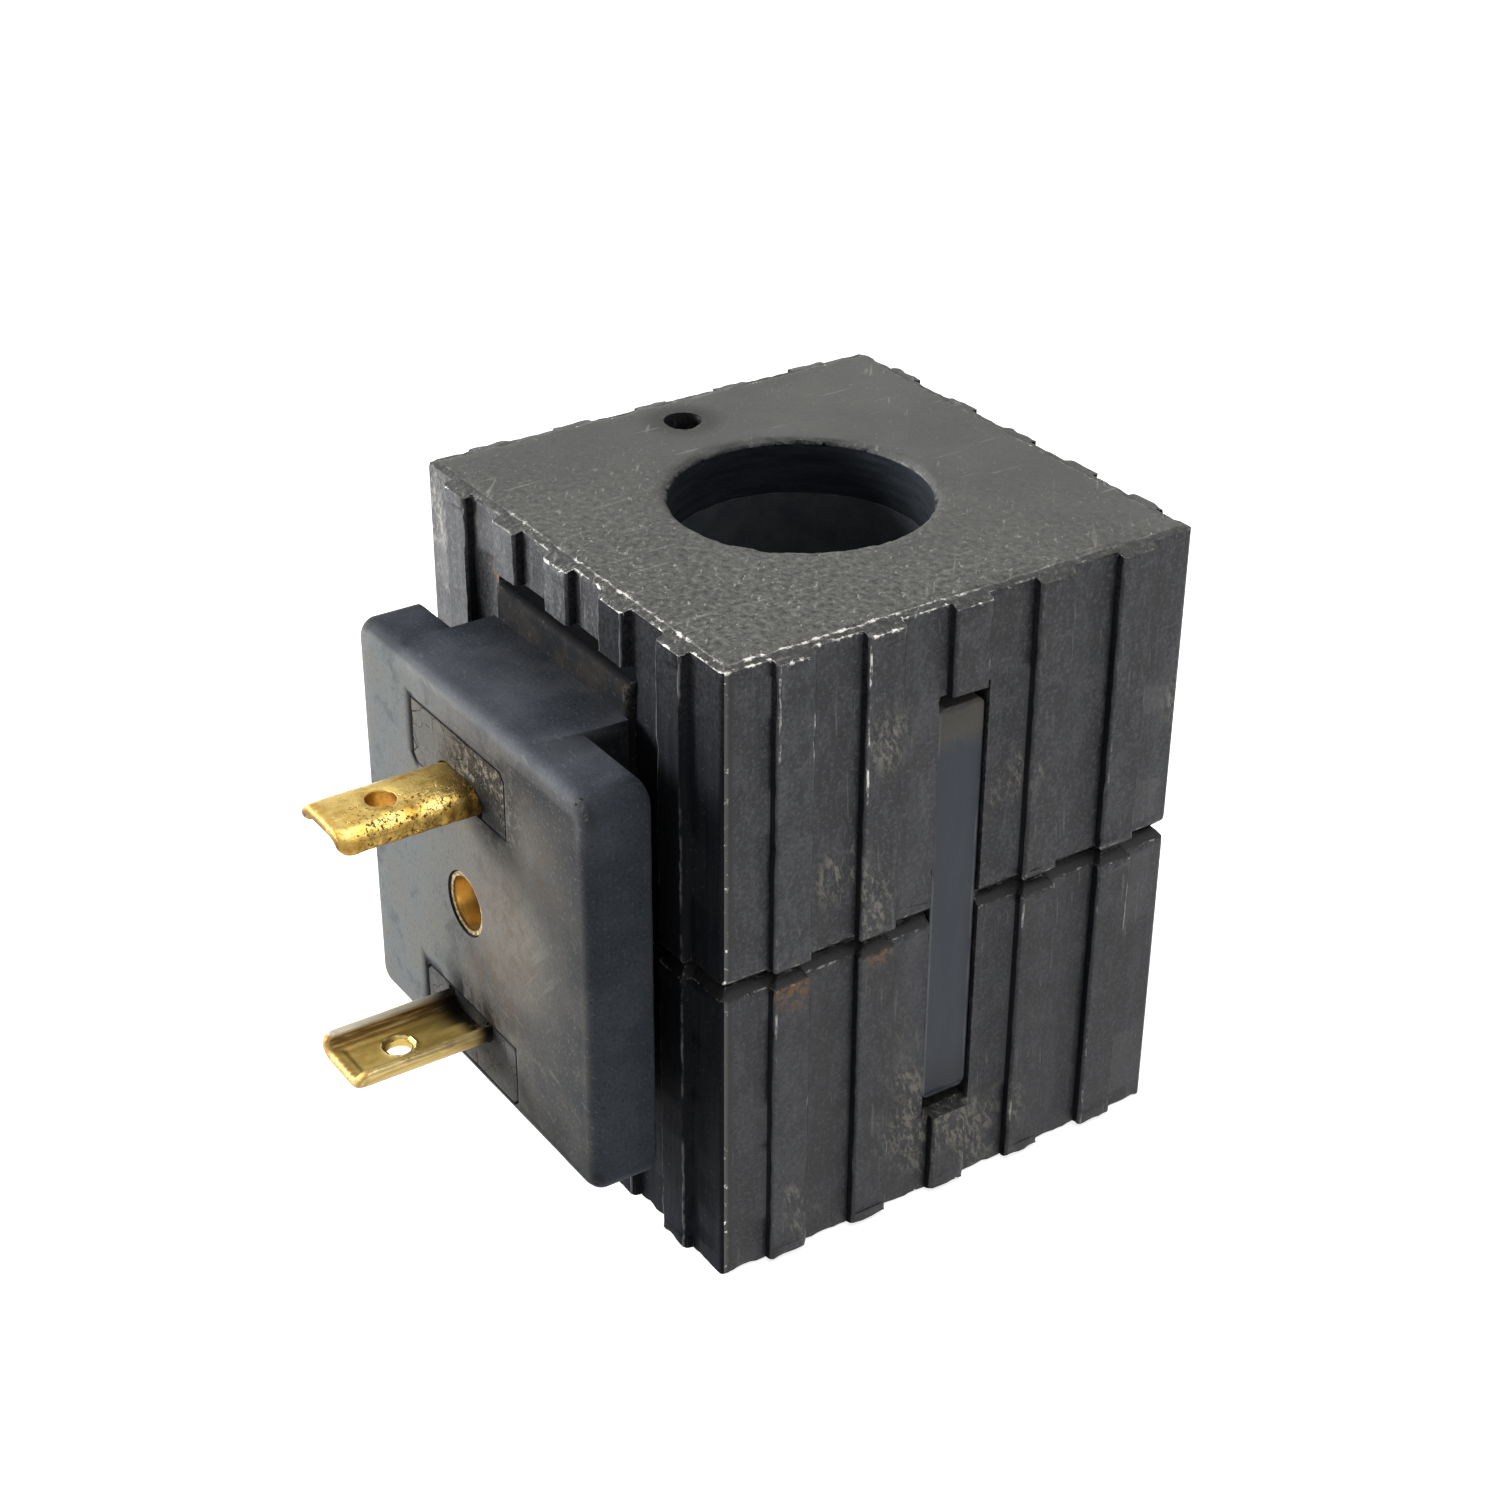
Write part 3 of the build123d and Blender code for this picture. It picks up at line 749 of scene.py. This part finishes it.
def flangeFinish():
    finish = Finish("flangeMoulding")
    grain = finish.noise(0.25, 4, 0.65)
    cloud = finish.noise(2.0, 4, 0.6, shift=(3, 2, 4))
    dust = finish.noise(0.5, 4, 0.75, shift=(1, 7, 2))
    rim = (1 - finish.attribute("edgeDistance").fade(0.05, 0.28)) * finish.z.fade(38, 39)
    top = finish.facing(2).fade(0.5, 0.9)
    # painted shade: the flange's tones are kept dark for the window it sits back in, and its top faces are
    # darker still where the window's edge shades them
    colour = finish.coats(finish.blend(cloud.fade(0.38, 0.66), *moulding["flange"]), [
        (dust.fade(0.56, 0.68) * 0.45, (0.08, 0.074, 0.064)),
        (rim * grain.fade(0.4, 0.6) * 0.35, (0.12, 0.112, 0.098)),
        (top * (1 - rim) * 0.8, (0.005, 0.0055, 0.0065)),
    ])
    return finish.surface({
        "Base Color": colour,
        "Roughness": 0.74 + grain * 0.12,
        "Normal": finish.bump(grain * 0.5 + dust * 0.3 + cloud * 0.4, 0.05),
        "Specular IOR Level": 0.05,
    })


def stripFinish():
    finish = Finish("stripMoulding")
    z = finish.z
    halfWidth, halfLength = moulding["stripHalf"]
    grain = finish.noise(0.25, 4, 0.65)
    cloud = finish.noise(2.4, 4, 0.6, shift=(3, 2, 4))
    run = finish.noise(1.6, 3, 0.6, longer=(1, 1, 5), shift=(1, 1, 3))
    top = z.fade(33.8, 35.6) * cloud.fade(0.32, 0.5) * abs(finish.x).fade(15.5, 16.5)
    gap = (halfWidth - abs(finish.y)).atMost(halfLength - abs(z - seamZ / mm))  # from the strip's outline
    # painted highlight: a light line just inside the outline, along the rounded rim
    line = (1 - abs(gap - 0.17).fade(0.03, 0.12)) * run.fade(0.38, 0.58)
    colour = finish.coats(finish.blend(run.fade(0.35, 0.68), *moulding["strip"]), [
        (grain.fade(0.6, 0.7) * 0.3, (0.075, 0.078, 0.084)),
        (top * 0.7, (0.12, 0.11, 0.086)),
        (z.fade(11.5, 8.2) * 0.6, (0.01, 0.011, 0.014)),
        (line * 0.7, (0.15, 0.155, 0.165)),
        ((1 - gap.fade(0.0, 0.09)) * 0.8, (0.004, 0.0045, 0.006)),
    ])
    return finish.surface({
        "Base Color": colour,
        "Roughness": 0.4 + grain * 0.12 + top * 0.2,
        "Normal": finish.bump(grain * 0.3 + cloud * 0.6 + top * grain, 0.05),
        "Specular IOR Level": 0.26,
    })


def makeMoulding():
    bm = sharpCopy("coil_encapsulation")
    low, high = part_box("coil_encapsulation")
    seen = lambda c: abs(c.x) > 15.5 * mm or c.y < -15.5 * mm
    cut(bm, 2, steps(low.z, high.z, moulding["gridPitch"]), seen)
    cut(bm, 0, steps(low.x / 2, high.x / 2, moulding["gridPitch"]), seen)
    piece = dress("coil_encapsulation", bm, stripFinish(), moulding["wear"])
    piece.data.materials.append(flangeFinish())
    for face in piece.data.polygons:
        if face.center.y < moulding["flangeBack"]:
            face.material_index = 1


makeMoulding()


# Terminal carriers: grimy moulded blocks, the upper one browner, with fine cracks
carrier = {
    "gridPitch": 0.7 * mm,
    # painted shade round the roots of the two terminals
    "shadowed": [((1.5, blockFace, 31.8), 2.6, 2.0), ((1.5, blockFace, 12.8), 2.4, 1.6)],
    "grimy": [((4.4, blockFace, 32.0), 2.6, 3.8)],
    # black smudges low down; the one at x 3.8, z 31.0 is a painted shadow right of the upper terminal's root
    "smudgesAndShadow": [
        ((-1.0, blockFace, 14.9), 0.9, 2.0),
        ((2.5, blockFace, 14.6), 0.7, 1.9),
        ((3.8, blockFace, 31.0), 0.8, 2.4),
    ],
    "lower": ((0.044, 0.044, 0.043), (0.07, 0.069, 0.066)),
    "upper": ((0.08, 0.081, 0.075), (0.046, 0.041, 0.03)),  # left and right end
    "wear": {"Reach": 0.25 * mm, "Depth": 0.05 * mm, "Patches": 900.0},
}


def carrierFinish():
    finish = Finish("carrierMoulding")
    upper = finish.z.fade(22, 24)
    grain = finish.noise(0.26, 4, 0.7)
    cloud = finish.noise(1.5, 4, 0.6, shift=(2, 2, 7))
    crackle = finish.cells(1.3, "DISTANCE_TO_EDGE", (1, 4, 2))
    bent = finish.noise(0.9, 3, 0.6)
    cracks = (1 - (crackle + (bent - 0.5) * 0.08).fade(0.01, 0.045)) * cloud.fade(0.42, 0.58)
    grimy = finish.spots(carrier["grimy"])
    speck = finish.noise(0.5, 5, 0.8, shift=(6, 2, 9))
    low = finish.blend(cloud.fade(0.35, 0.68), *carrier["lower"])
    high = finish.blend(finish.x.fade(-4, 3), *carrier["upper"])
    high = finish.blend(cloud.fade(0.45, 0.66) * 0.6, high, (0.115, 0.103, 0.078))
    colour = finish.coats(finish.blend(upper, low, high), [
        (grain.fade(0.58, 0.72) * 0.4, (0.17, 0.16, 0.14)),
        (finish.spots(carrier["shadowed"]) * cloud.fade(0.28, 0.56) * 0.8, (0.022, 0.018, 0.013)),
        (grimy * 0.75, (0.016, 0.014, 0.012)),
        ((grimy * 0.75 + upper * 0.25) * speck.fade(0.5, 0.58), (0.15, 0.135, 0.105)),
        (finish.spots(carrier["smudgesAndShadow"]) * 0.93, connector["sootAndShadow"]),
        (cracks * (0.25 + upper * 0.6), (0.01, 0.009, 0.008)),
        ((1 - finish.attribute("edgeDistance").fade(0.0, 0.12)) * 0.7, (0.008, 0.008, 0.008)),
    ])
    return finish.surface({
        "Base Color": colour,
        "Roughness": 0.6 + grain * 0.15,
        "Normal": finish.bump(grain * 0.8 + cloud * 0.8 - cracks * 1.2, 0.09),
        "Specular IOR Level": 0.1,
    })


def makeCarriers():
    material = carrierFinish()
    for node, seed in (("terminal_carrier_upper", 3.0), ("terminal_carrier_lower", 8.0)):
        bm = sharpCopy(node)
        low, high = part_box(node)
        for axis in (0, 2):
            cut(bm, axis, steps(low[axis], high[axis], carrier["gridPitch"]))
        dress(node, bm, material, {**carrier["wear"], "Seed": seed})


makeCarriers()


# Terminals: brass sheet folded to a shallow channel, worked out in the flat sheet and then folded
terminal = {
    "halfWidth": 3.0,  # mm
    "depth": 1.7,
    "sheet": 0.8,
    "foldRadius": 1.62,  # outside of the fold
    "rimRound": 0.34,  # rounding of the sheet's free edges
    "cornerRound": 0.95,  # corners of the flat sheet
    "holeY": -31.5,
    "holeRadii": {1: 1.0, -1: 0.88},  # by which way the channel opens, 1 is down
    "collarHeights": {1: 0.62, -1: 0.14},  # what the punch pushed out under the hole
    "patchHalf": 1.35,  # square round the hole that the ring of faces fills
    "pitch": 0.14,
    "hammered": 0.085,
    "panelDepth": 0.09,
    "upperBrass": ((0.52, 0.325, 0.066), (0.74, 0.535, 0.165)),
    "lowerBrass": ((0.42, 0.285, 0.07), (0.56, 0.41, 0.125)),
    "brownBrass": ((0.105, 0.052, 0.016), (0.3, 0.185, 0.065)),
    "wear": {"Sharp Angle": 0.3, "Reach": 0.2 * mm, "Depth": 0.03 * mm, "Patches": 1100.0, "Seed": 2.0},
}


def flatEdges(low, high, inner, pitch):  # places across the sheet, close together at its free edges
    rim = [terminal["rimRound"] * step for step in (0, 0.08, 0.22, 0.42, 0.68, 1)]
    places = [low + d for d in rim] + [high - d for d in rim]
    for start, stop in zip([low + rim[-1]] + inner, inner + [high - rim[-1]]):
        count = max(2, round((stop - start) / pitch))
        places += [start + (stop - start) * i / count for i in range(1, count + 1)]
    return sorted(set(round(p, 5) for p in places))


def ease(value, low, high):
    t = min(1.0, max(0.0, (value - low) / (high - low)))
    return t * t * (3 - 2 * t)


class Blade:  # one terminal: up is 1 where the channel opens downwards
    def __init__(self, node, up):
        low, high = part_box(node)
        self.up = up
        self.level = (high.z if up > 0 else low.z) / mm
        self.front, self.back = low.y / mm, high.y / mm
        self.flatHalf = terminal["halfWidth"] - terminal["foldRadius"]
        self.midRadius = terminal["foldRadius"] - terminal["sheet"] / 2
        leg = terminal["depth"] - terminal["foldRadius"]
        self.reach = self.flatHalf + self.midRadius * math.pi / 2 + leg
        self.bm = bmesh.new()

    def relief(self, s, y, side):  # how far the surface lies below the plain sheet, mm
        shallow = 0.0
        fromHole = math.hypot(s, y - terminal["holeY"])
        collar = terminal["collarHeights"][self.up] * (1 - ease(fromHole, 1.1, 1.32)) if side < 0 else 0.0
        if self.up > 0:
            grain = noise.noise(Vector((s, y * 0.7, 1.0)) / 0.8)
            grain += 0.6 * noise.noise(Vector((s, y, 7.0)) / 0.36)
            worked = 0.35 + 0.65 * ease(s, 0.2, 1.6)
            shallow = terminal["hammered"] * worked * (0.8 + grain) if side > 0 else 0.0
            shallow += 0.07 * (1 - ease(fromHole, 1.0, 1.5)) if side > 0 else 0.0
        elif side < 0:
            panel = (1 - ease(abs(s), 1.4, 1.55)) * ease(y - self.front, 0.95, 1.1)
            shallow = terminal["panelDepth"] * panel
            collar *= 0.75 + 0.25 * math.sin(3 * s + y)
            shallow += 0.3 * (1 - ease(fromHole, 0.88, 1.16))
        return shallow - collar

    def place(self, s, row, side, share=1.0):  # a place of the flat sheet, folded
        d = row - self.front
        beyond = abs(s) - (self.reach - terminal["cornerRound"])
        y = row
        if beyond > 0:
            pull = terminal["cornerRound"] - math.sqrt(max(0.0, terminal["cornerRound"] ** 2 - beyond ** 2))
            y += pull * (1 - ease(d, 0.0, 4.0))
        rim = terminal["rimRound"]
        thick = terminal["sheet"] / 2
        for gap in (self.reach - abs(s), d):
            if gap < rim:
                thick *= math.sqrt(max(0.0, 1 - (1 - gap / rim) ** 2))
        offset = side * share * (thick - min(thick, self.relief(s, y, side)))
        run = abs(s) - self.flatHalf
        angle = min(max(run / self.midRadius, 0.0), math.pi / 2)
        x = min(abs(s), self.flatHalf) + self.midRadius * math.sin(angle)
        z = -terminal["foldRadius"] + self.midRadius * math.cos(angle)
        z -= max(0.0, run - self.midRadius * math.pi / 2)
        z -= 0.08 * (1 - ease(d, 0.0, 1.1)) * ease(math.cos(angle), 0.0, 1.0)
        x += offset * math.sin(angle)
        z += offset * math.cos(angle)
        return self.bm.verts.new(Vector((math.copysign(x, s), y, self.level + self.up * z)) * mm)

    def build(self, pitch):
        half, hole = terminal["patchHalf"], terminal["holeY"]
        across = flatEdges(-self.reach, self.reach, [-half, half], pitch)
        rows = flatEdges(self.front, self.back + terminal["rimRound"], [hole - half, hole + half], pitch)
        rows = [y for y in rows if y < self.back - 0.05] + [self.back]
        inHole = lambda s, y: abs(s) < half - 0.01 and abs(y - hole) < half - 0.01
        grids = {}
        for side in (1, -1):
            grids[side] = {
                (i, j): self.place(s, y, side)
                for i, s in enumerate(across)
                for j, y in enumerate(rows)
                if not inHole(s, y)
            }
            for i in range(len(across) - 1):
                for j in range(len(rows) - 1):
                    corners = [(i, j), (i + 1, j), (i + 1, j + 1), (i, j + 1)]
                    middle = ((across[i] + across[i + 1]) / 2, (rows[j] + rows[j + 1]) / 2)
                    if not inHole(*middle):
                        self.bm.faces.new([grids[side][c] for c in corners])
        last = len(rows) - 1
        for i in range(len(across) - 1):  # closes the end inside the block
            corners = ((1, i), (1, i + 1), (-1, i + 1), (-1, i))
            self.bm.faces.new([grids[side][k, last] for side, k in corners])
        self.ringHole(across, rows, grids)

    def ringHole(self, across, rows, grids):
        half, hole, radius = terminal["patchHalf"], terminal["holeY"], terminal["holeRadii"][self.up]
        nearHole = lambda i, j: abs(across[i]) < half + 0.01 and abs(rows[j] - hole) < half + 0.01
        rim = [c for c in grids[1] if nearHole(*c)]
        rim.sort(key=lambda c: math.atan2(rows[c[1]] - hole, across[c[0]]))
        outline = [Vector((across[i], rows[j] - hole)) for i, j in rim]
        lips = {}
        for side in (1, -1):
            loops = [[grids[side][c] for c in rim]]
            loops += [self.ring(outline, radius, t, side, 1.0) for t in (0.75, 0.5, 0.3, 0.15, 0.06)]
            loops.append(self.ring(outline, radius, 0.0, side, 0.86))
            self.join(loops)
            lips[side] = loops[-1]
        middles = [self.ring(outline, radius, 0.0, 1, share) for share in (0.4, -0.1, -0.5)]
        self.join([lips[1]] + middles + [lips[-1]])

    def ring(self, outline, radius, t, side, share):  # t is 0 at the hole and 1 at the outline
        made = []
        for outer in outline:
            flat = outer.normalized() * radius * (1 - t) + outer * t
            made.append(self.place(flat.x, flat.y + terminal["holeY"], side, share))
        return made

    def join(self, loops):
        for first, second in zip(loops, loops[1:]):
            for k in range(len(first)):
                n = (k + 1) % len(first)
                self.bm.faces.new([first[k], first[n], second[n], second[k]])

    def closed(self):
        bmesh.ops.remove_doubles(self.bm, verts=self.bm.verts[:], dist=0.004 * mm)
        bmesh.ops.recalc_face_normals(self.bm, faces=self.bm.faces[:])
        return self.bm


def upperBrass():  # hammered and pitted, browner down the side
    finish = Finish("terminal_upper_brass")
    x, y, z = finish.x, finish.y, finish.z
    grain = finish.noise(0.16, 4, 0.7)
    cloud = finish.noise(1.1, 4, 0.65, longer=(1, 1.8, 1), shift=(2, 6, 1))
    drawn = finish.noise(0.22, 3, 0.6, longer=(1, 12, 1))
    low = z.fade(31.7, 31.2)  # below the fold
    shoulder = x.fade(-0.4, 1.2) * y.fade(-35.2, -33.6)
    cells = finish.cells(0.34, "DISTANCE_TO_EDGE", (5, 1, 2))
    rings = (1 - cells.fade(0.015, 0.05)) * cloud.fade(0.5, 0.6) * shoulder
    pits = finish.noise(0.3, 3, 0.7, shift=(5, 1, 2)).fade(0.56, 0.63) * (0.25 + shoulder)
    marks = rings.atLeast(pits)
    stain = cloud.fade(0.44, 0.32) * 0.6
    nose = y.fade(-34.9, -35.6)
    # painted shadow at the root, darkest on the right, where the terminal meets the block
    root = y.fade(-28.6, -26.2) * (0.45 + 0.55 * cloud.fade(0.3, 0.55)) * x.fade(-2.5, 1.5)
    fromHole = (x * x + (y - terminal["holeY"]) ** 2) ** 0.5
    colour = finish.coats(finish.blend(cloud.fade(0.34, 0.62), *terminal["upperBrass"]), [
        (drawn.fade(0.5, 0.7) * 0.4, (0.88, 0.7, 0.3)),
        (low * (0.55 + 0.4 * drawn.fade(0.4, 0.6)), (0.4, 0.235, 0.055)),
        (marks * 0.85, (0.15, 0.075, 0.014)),
        (stain, (0.36, 0.2, 0.036)),
        (nose * 0.55, (0.34, 0.2, 0.045)),
        (y.fade(-35.66, -35.74) * 0.8, (0.1, 0.05, 0.012)),
        (root * 0.9, (0.075, 0.04, 0.01)),
        (fromHole.fade(1.1, 1.02) * z.fade(32.02, 31.86) * 0.85, (0.42, 0.185, 0.022)),  # wall of the hole
    ])
    return finish.surface({
        "Base Color": colour,
        "Metallic": 1.0,
        "Roughness": 0.27 + stain * 0.15 + marks * 0.3 + grain * 0.1 + low * 0.08 + nose * 0.2,
        "Normal": finish.bump(grain * 0.5 + cloud * 0.4 - marks * 0.9 + drawn * 0.5, 0.045),
    })


def lowerBrass():  # smooth inside, brown along the left leg, with painted shade at the root
    finish = Finish("terminal_lower_brass")
    x, y, z = finish.x, finish.y, finish.z
    grain = finish.noise(0.16, 4, 0.7)
    cloud = finish.noise(1.2, 4, 0.65, longer=(1, 2.2, 1), shift=(2, 6, 1))
    drawn = finish.noise(0.2, 3, 0.6, longer=(1, 14, 1))
    leg = abs(x).fade(1.35, 1.75)
    left = x.fade(0.2, -0.2)
    top = z.fade(13.95, 14.08)  # rims of the legs
    nose = y.fade(-34.9, -35.5)
    root = y.fade(-29.4, -26.6)
    colour = finish.coats(finish.blend(cloud.fade(0.34, 0.62), *terminal["lowerBrass"]), [
        (leg * (0.35 + 0.55 * left), finish.blend(drawn.fade(0.38, 0.62), *terminal["brownBrass"])),
        (drawn.fade(0.52, 0.7) * leg * 0.5, (0.62, 0.47, 0.22)),
        (top * left * 0.8, (0.62, 0.6, 0.56)),
        ((1 - finish.attribute("edgeDistance").fade(0.0, 0.12)) * 0.4, (0.8, 0.66, 0.36)),
        (nose * (0.3 + 0.6 * drawn.fade(0.4, 0.6)), (0.3, 0.185, 0.06)),
        # painted shade at the root, where the terminal enters the block
        (root * (0.25 + 0.7 * left), (0.012, 0.009, 0.007)),
        (y.fade(-27.6, -26.4) * cloud.fade(0.3, 0.52), (0.008, 0.007, 0.006)),
    ])
    return finish.surface({
        "Base Color": colour,
        "Metallic": 1.0,
        "Roughness": 0.3 + cloud * 0.12 + grain * 0.08 + root * 0.25 + nose * 0.22,
        "Normal": finish.bump(grain * 0.3 + cloud * 0.3 + drawn * leg * 0.7, 0.04),
    })


def makeTerminals():
    for node, up, material in (("terminal_upper", 1, upperBrass()), ("terminal_lower", -1, lowerBrass())):
        blade = Blade(node, up)
        blade.build(terminal["pitch"] * (1))
        dress(node, blade.closed(), material, terminal["wear"])


makeTerminals()


# Insert for the plug's screw, turned brass with a thread below its counterbore
insert = {
    "threadPitch": 0.5,  # mm
    "threadDepth": 0.2,
    "boreRadius": 1.3,  # mm, the tapping hole lies inside this
    "counterbore": 2.3,
    "tones": ((0.58, 0.44, 0.2), (0.74, 0.58, 0.3)),
    "turnedTone": (0.92, 0.8, 0.54),
    "wear": {"Reach": 0.12 * mm, "Depth": 0.02 * mm, "Patches": 1500.0, "Seed": 7.0},
}


def insertFinish():
    finish = Finish("insertBrass")
    cloud = finish.noise(1.3, 4, 0.65, shift=(2, 6, 1))
    turned = finish.noise(0.12, 2, 0.5, longer=(8, 1, 8))
    grain = finish.noise(0.2, 4, 0.7)
    rim = (1 - finish.y.fade(-25.85, -25.7)) * (0.55 + 0.45 * cloud.fade(0.35, 0.55))
    worn = (1 - finish.attribute("edgeDistance").fade(0.02, 0.1)) * grain.fade(0.45, 0.65)
    colour = finish.coats(finish.blend(cloud.fade(0.32, 0.68), *insert["tones"]), [
        (turned.fade(0.5, 0.7) * 0.4, insert["turnedTone"]),
        (rim * 0.95, (0.13, 0.075, 0.024)),
        (worn * 0.4, (0.9, 0.8, 0.55)),
    ])
    return finish.surface({
        "Base Color": colour,
        "Metallic": 1.0,
        "Roughness": 0.24 + grain * 0.14 + rim * 0.2,
        "Normal": finish.bump(grain * 0.4 + turned * 0.5, 0.03),
    })


def makeInsert():
    bm = sharpCopy("plug_screw_insert")
    low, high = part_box("plug_screw_insert")
    middle = (low.z + high.z) / 2
    cut(bm, 1, steps(low.y, high.y, insert["threadPitch"] * mm / 2))
    for v in bm.verts:
        out = Vector((v.co.x, 0, v.co.z - middle))
        inHole = math.hypot(out.x, out.z) < insert["boreRadius"] * mm
        if inHole and low.y + insert["counterbore"] * mm < v.co.y < high.y - 0.1 * mm:
            turn = math.atan2(out.z, out.x) / (2 * math.pi)
            crest = abs(((v.co.y / mm / insert["threadPitch"] + turn) % 1) - 0.5) * 2
            v.co += out.normalized() * crest * insert["threadDepth"] * mm
    dress("plug_screw_insert", bm, insertFinish(), insert["wear"])


makeInsert()


# Spool that lines the bore, brown black and dusty
spool = {
    "gridPitch": 1.2 * mm,
    "tones": ((0.03, 0.036, 0.043), (0.05, 0.056, 0.062)),
    "rubbed": (0.062, 0.066, 0.07),
    "wear": {"Reach": 0.4 * mm, "Depth": 0.03 * mm, "Patches": 500.0, "Seed": 3.0},
}


def spoolFinish():
    finish = Finish("spoolMoulding")
    grain = finish.noise(0.3, 4, 0.65)
    cloud = finish.noise(2.2, 4, 0.6, shift=(1, 6, 2))
    rubbed = finish.noise(0.8, 4, 0.6, longer=(1, 1, 10), shift=(3, 3, 0))
    colour = finish.coats(finish.blend(cloud.fade(0.35, 0.68), *spool["tones"]), [
        (rubbed.fade(0.55, 0.75) * 0.5, spool["rubbed"]),
        (grain.fade(0.6, 0.74) * 0.3, (0.05, 0.045, 0.038)),
    ])
    return finish.surface({
        "Base Color": colour,
        "Roughness": 0.55 + grain * 0.2,
        "Normal": finish.bump(grain * 0.6 + rubbed * 0.5, 0.05),
        "Specular IOR Level": 0.25,
    })


def makeSpool():
    bm = sharpCopy("bobbin")
    low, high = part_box("bobbin")
    cut(bm, 2, steps(low.z, high.z, spool["gridPitch"]))
    dress("bobbin", bm, spoolFinish(), spool["wear"])


makeSpool()


# Pieces that the yoke hides keep their own solids and get a finish each
hidden = {
    "wirePitch": 0.32,  # mm
    "winding": ((0.42, 0.13, 0.045), (0.62, 0.24, 0.09)),
    "film": ((0.52, 0.36, 0.08), (0.66, 0.49, 0.16)),
    "sleeve": ((0.5, 0.46, 0.36), (0.66, 0.62, 0.52)),
    "leadWire": ((0.5, 0.17, 0.07), (0.72, 0.3, 0.14)),
    "solder": ((0.38, 0.38, 0.37), (0.62, 0.62, 0.61)),
}


def windingFinish():
    finish = Finish("enamelledWire")
    turns = (finish.z.folded(hidden["wirePitch"] / 2) / (hidden["wirePitch"] / 2)).maths("SINE")
    tone = finish.noise(1.5, 3, 0.5, longer=(6, 6, 1))
    colour = finish.blend(tone.fade(0.3, 0.7), *hidden["winding"])
    return finish.surface({
        # painted shade in the grooves between the turns
        "Base Color": finish.blend(turns.fade(0.35, 0.05) * 0.6, colour, (0.1, 0.03, 0.012)),
        "Metallic": 0.6,
        "Roughness": 0.3 + tone * 0.2,
        "Normal": finish.bump(turns, 0.12),
    })


def filmFinish():
    finish = Finish("windingFilm")
    wrinkles = finish.noise(1.8, 4, 0.6, longer=(1, 1, 4), bend=0.5)
    laps = abs(finish.z.folded(4.0) - 2.0).fade(0.0, 0.12)
    tone = finish.noise(4.0, 3, 0.5)
    colour = finish.blend(tone.fade(0.3, 0.7), *hidden["film"])
    return finish.surface({
        "Base Color": finish.blend((1 - laps) * 0.6, colour, (0.3, 0.19, 0.04)),
        "Roughness": 0.22 + wrinkles * 0.25,
        "Normal": finish.bump(wrinkles + laps * 0.4, 0.08),
    })


def sleeveFinish():
    finish = Finish("sleeveSilicone")
    weave = finish.cells(0.35)
    tone = finish.noise(1.2, 3, 0.6)
    colour = finish.blend(tone.fade(0.3, 0.7), *hidden["sleeve"])
    return finish.surface({
        "Base Color": finish.blend(weave.fade(0.5, 0.8) * 0.3, colour, (0.32, 0.28, 0.2)),
        "Roughness": 0.55 + tone * 0.2,
        "Normal": finish.bump(weave, 0.03),
    })


def bareWireFinish():
    finish = Finish("leadCopper")
    drawn = finish.noise(0.2, 3, 0.5, longer=(1, 12, 1))
    tone = finish.noise(1.1, 3, 0.6)
    colour = finish.blend(tone.fade(0.3, 0.7), *hidden["leadWire"])
    return finish.surface({
        "Base Color": finish.blend(drawn.fade(0.6, 0.75) * 0.5, colour, (0.85, 0.5, 0.3)),
        "Metallic": 1.0,
        "Roughness": 0.25 + tone * 0.2,
        "Normal": finish.bump(drawn, 0.02),
    })


def solderFinish():
    finish = Finish("solderAlloy")
    grains = finish.cells(0.3)
    tone = finish.noise(0.6, 4, 0.6)
    colour = finish.blend(tone.fade(0.3, 0.7), *hidden["solder"])
    return finish.surface({
        "Base Color": finish.blend(grains.fade(0.45, 0.8) * 0.3, colour, (0.22, 0.22, 0.21)),
        "Metallic": 1.0,
        "Roughness": 0.28 + grains * 0.3,
        "Normal": finish.bump(grains + tone, 0.04),
    })


def finishHidden():
    finishes = {
        "winding": windingFinish(),
        "winding_tape": filmFinish(),
        "lead_sleeve": sleeveFinish(),
        "lead_wire": bareWireFinish(),
        "solder_joint": solderFinish(),
    }
    for name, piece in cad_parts.items():
        matches = [kind for kind in finishes if name.startswith(kind)]
        if matches:
            piece.material_slots[0].material = finishes[max(matches, key=len)]
            print("finish of", name)


finishHidden()
